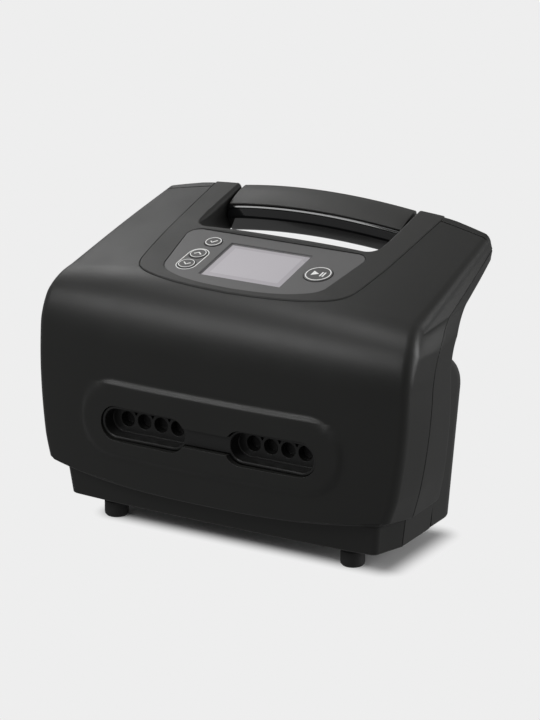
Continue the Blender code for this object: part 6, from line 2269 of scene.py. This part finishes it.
class Base(Piece):
    """Feet and the screws that show."""

    name = "base"

    def foot(self, node: str, x: float, y: float) -> None:
        """A turned rubber foot with a hollow and a ring under it.

        Args:
            node: the CAD foot it stands for.
            x: its place across.
            y: its place along the depth.
        """
        f = self.feet
        profile = list(f.hollow) + [(f.radius - f.chamfer * share, height) for share, height in f.rim]
        profile += [(f.radius - sunk, height) for sunk, height in f.groove] + [(f.radius, f.top), (0, f.top)]
        thing = Mesher.lathe(node + "_fine", profile, Vector((x, y, 0)), UP, 56)
        self.place(thing, RUBBER, "rubber", "housing", node)

    def screw(self, node: str, head: Vector, toward: Vector) -> None:
        """A pan-head screw with a cross recess and a threaded shank.

        Args:
            node: the CAD screw it stands for.
            head: where the head's seat is.
            toward: the direction it is driven in.
        """
        s = self.screws
        core, step = s.shank * s.core, (s.length - s.shank * 2) / s.turns
        profile = [(s.radius * share, -s.head * rise) for share, rise in s.dome] + [(s.radius, 0), (s.shank, 0)]
        for height in (s.shank + step * k for k in range(s.turns)):
            profile += [(core, height), (s.shank, height + step * 0.5)]
        profile += [(core, s.length - s.shank), (0, s.length)]
        body = Mesher.lathe(node + "_fine", profile, Vector((0, 0, 0)), UP, 28)
        half, arm = s.slot_half, s.radius * s.slot_share
        for turn in (0, pi / 2):
            turned = [(a * cos(turn) - b * sin(turn), a * sin(turn) + b * cos(turn))
                      for a, b in ((-arm, -half), (arm, -half), (arm, half), (-arm, half))]
            levels = ((-s.head * 1.5, 0), (-s.head * 0.45 + turn * 1e-5, 0))
            Mesher.cut(body, Mesher.prism("recess", turned, levels))
        spin = UP.rotation_difference(toward).to_matrix().to_4x4()
        body.data.transform(Matrix.Translation(head) @ spin)
        self.place(body, ZINC, "steel", "housing", node)

    def build(self) -> None:
        """Builds the feet and the screws."""
        f, s = self.feet, self.screws
        for fore, y in (("front", f.front_y), ("rear", f.rear_y)):
            for side in Side:
                self.foot(f"foot_{fore}_{side.name.lower()}", side.value * f.x, y)
        for side in Side:
            hand = side.name.lower()
            for fore, (x, y) in (("front", s.base_front), ("rear", s.base_rear)):
                head = Vector((side.value * x, y, self.sizes.plinth_z - s.gap))
                self.screw(f"base_screw_{fore}_{hand}", head, UP)
            for level, z in zip(("lower", "upper"), s.cover_z):
                head = Vector((side.value * s.cover_x, self.envelope.rear_wall_y(z) + s.seat + s.gap, z))
                self.screw(f"cover_screw_{level}_{hand}", head, -REARWARD)
            head = self.pin_place(side.value * (self.opening.half_width + self.sizes.wall + s.pin_seat + s.gap))
            self.screw(f"handle_screw_{hand}", head, Vector((-side.value, 0, 0)))


class Inside(Piece):
    """The CAD nodes whose own shape stays: they get their finish and softened edges."""

    name = "inside and underside"
    edge = 0.00025
    finishes = {
        "base_plate": INNER, "battery_pack": CELL, "display_board": BOARD, "main_board": BOARD,
        "mains_inlet": PORT, "pressure_sensor": PORT, "pump_armature": STEEL, "pump_coil_lower": COPPER,
        "pump_coil_upper": COPPER, "pump_frame": STEEL, "pump_head_left": PORT, "pump_head_right": PORT,
        "pump_hose_left": SILICONE, "pump_hose_right": SILICONE, "pump_mount_front_left": RUBBER,
        "pump_mount_front_right": RUBBER, "pump_mount_rear_left": RUBBER, "pump_mount_rear_right": RUBBER,
        "socket_hose_left": SILICONE, "socket_hose_right": SILICONE, "valve_left": STEEL,
        "valve_right": STEEL, "valve_manifold": RESIN}

    def build(self) -> None:
        """Dresses the kept nodes."""
        for node, finish in self.finishes.items():
            thing = self.paint.put(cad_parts[node], finish)
            thing.data.shade_smooth()
            thing.data.set_sharp_from_angle(angle=radians(32))
            if finish not in (SILICONE, RUBBER):
                soft = thing.modifiers.new("soft edges", "BEVEL")
                soft.width, soft.segments = self.edge, 2
                soft.limit_method, soft.angle_limit = "ANGLE", radians(40)
            self.pieces.append(node)


@dataclass(frozen=True)
class StudioSizes:
    """Tones and places of the studio: the floor, its shadow, the surround, the lights and the camera."""

    shade: float = 0.855
    bounce: float = 0.24
    floor_radius: float = 9.0
    shadow_half: Pair = (0.098, 0.034)
    shadow_middle: Pair = (0.010, -0.006)
    shadow_reach: Pair = (0.000, 0.020)
    surround_toward: Triple = (-0.45, 0.45, 0.77)
    surround_start: float = -0.3
    surround_low: float = 0.15
    surround_high: float = 0.30
    aim: Triple = (0.0, 0.0, 0.10)
    lights: tuple[tuple[str, Triple, Pair, float], ...] = (
        ("back left", (-1.38, 0.80, 1.45), (0.9, 1.0), 6.8),
        ("front left", (-0.80, -1.45, 1.20), (2.3, 0.45), 13.0),
        ("overhead", (-0.35, -0.45, 1.75), (1.2, 0.5), 5.5),
        ("right", (1.9, 0.85, 0.65), (1.0, 1.4), 24.0),
    )
    azimuth: float = radians(29.85)
    elevation: float = radians(17.81)
    roll: float = radians(0.34)
    seen: Triple = (-0.00147, DATUM_Y, 0.10733)
    distance: float = 2.085
    sensor: float = 36.0
    lens: float = 160.5
    clip: Pair = (0.05, 60.0)


class Studio:
    """Pale floor, soft lights and the camera."""

    def __init__(self, sizes: StudioSizes) -> None:
        """Keeps the studio's sizes."""
        self.sizes = sizes

    def floor_material(self) -> bpy.types.Material:
        """A pale floor: it takes the contact shadow close to the feet and is an even tone beyond.

        Returns:
            The material.
        """
        size = self.sizes
        look = bpy.data.materials.new("Studio floor")
        look.use_nodes = True
        graph = Graph(look.node_tree)
        graph.tree.nodes.clear()
        place = graph.add("TexCoord", {}).outputs["Object"]
        away = graph.vector("ABSOLUTE", graph.vector("SUBTRACT", place, (*size.shadow_middle, 0)))
        past = graph.vector("MAXIMUM", graph.vector("SUBTRACT", away, (*size.shadow_half, 0)), (0, 0, 0))
        near, far = size.shadow_reach
        blend = graph.add("MapRange", {"Value": graph.vector("LENGTH", past), "From Min": near, "From Max": far},
                          interpolation_type="SMOOTHSTEP")
        matt = graph.add("BsdfDiffuse", {"Color": (size.shade, size.shade, size.shade, 1)})
        seen = graph.add("LightPath", {}).outputs["Is Camera Ray"]
        level = graph.add("MapRange", {"Value": seen, "To Min": size.bounce, "To Max": size.shade})
        glow = graph.add("Emission", {"Strength": level.outputs["Result"]})
        mix = graph.add("MixShader", {"Fac": blend.outputs["Result"], 1: matt.outputs["BSDF"],
                                      2: glow.outputs["Emission"]})
        graph.add("OutputMaterial", {"Surface": mix.outputs["Shader"]})
        return look

    def floor(self) -> None:
        """A wide disc under the feet."""
        mesh = bmesh.new()
        bmesh.ops.create_circle(mesh, cap_ends=True, segments=96, radius=self.sizes.floor_radius)
        data = bpy.data.meshes.new("studio_floor")
        mesh.to_mesh(data)
        mesh.free()
        data.materials.append(self.floor_material())
        Mesher.link("studio_floor", data)

    def world(self) -> None:
        """A surround that lights from above and behind; the camera sees it as the pale backdrop."""
        size = self.sizes
        world = bpy.data.worlds.new("Studio")
        world.use_nodes = True
        graph = Graph(world.node_tree)
        place = graph.add("TexCoord", {}).outputs["Generated"]
        toward = graph.vector("DOT_PRODUCT", place, size.surround_toward)
        dome = graph.add("MapRange", {"Value": toward, "From Min": size.surround_start,
                                      "To Min": size.surround_low, "To Max": size.surround_high})
        seen = graph.add("LightPath", {}).outputs["Is Camera Ray"]
        level = graph.add("MapRange", {"Value": seen, "To Min": dome.outputs["Result"], "To Max": size.shade})
        back = graph.tree.nodes["Background"]
        back.inputs["Color"].default_value = (1, 1, 1, 1)
        graph.feed(back.inputs["Strength"], level.outputs["Result"])
        bpy.context.scene.world = world

    def light(self, name: str, place: Vector, toward: Vector, size: Pair, power: float) -> None:
        """A soft rectangular light.

        Args:
            name: the light's name.
            place: where it stands.
            toward: what it points at.
            size: its width and height.
            power: its power in watts.
        """
        data = bpy.data.lights.new(name, "AREA")
        data.shape = "RECTANGLE"
        data.size, data.size_y = size
        data.energy = power
        thing = Mesher.link(name, data)
        thing.location = place
        thing.rotation_euler = (toward - place).to_track_quat("-Z", "Y").to_euler()

    def camera(self) -> None:
        """The photograph's own view."""
        s = self.sizes
        along = Vector((-sin(s.azimuth) * cos(s.elevation), cos(s.azimuth) * cos(s.elevation), -sin(s.elevation)))
        right = Vector((cos(s.azimuth), sin(s.azimuth), 0))
        up = right.cross(along)
        turned_right = right * cos(s.roll) + up * sin(s.roll)
        turned_up = up * cos(s.roll) - right * sin(s.roll)
        data = bpy.data.cameras.new("photo_camera")
        data.sensor_fit = "VERTICAL"
        data.sensor_height = s.sensor
        data.lens = s.lens
        data.dof.use_dof = False
        data.clip_start, data.clip_end = s.clip
        thing = Mesher.link("photo_camera", data)
        matrix = Matrix((turned_right, turned_up, -along)).transposed().to_4x4()
        thing.matrix_world = Matrix.Translation(Vector(s.seen) - along * s.distance) @ matrix
        bpy.context.scene.camera = thing

    def build(self) -> None:
        """Sets up the studio."""
        self.floor()
        self.world()
        self.camera()
        for name, place, size, power in self.sizes.lights:
            self.light(name, Vector(place), Vector(self.sizes.aim), size, power)
        bpy.context.scene.view_settings.view_transform = "Standard"


def main() -> None:
    """Builds the sub-assemblies in order, then the studio, and reports each piece."""
    logging.basicConfig(level=logging.INFO, format="%(message)s")
    sizes = Sizes()
    envelope = Envelope(sizes.body, sizes.steps)
    paint = Paint(Effects())
    for kind in (Housing, Console, ControlPanel, Handle, PortBlock, Base, Inside):
        piece = kind(paint, envelope, sizes)
        piece.build()
        piece.report()
    Studio(StudioSizes()).build()


if __name__ == "__main__":
    main()
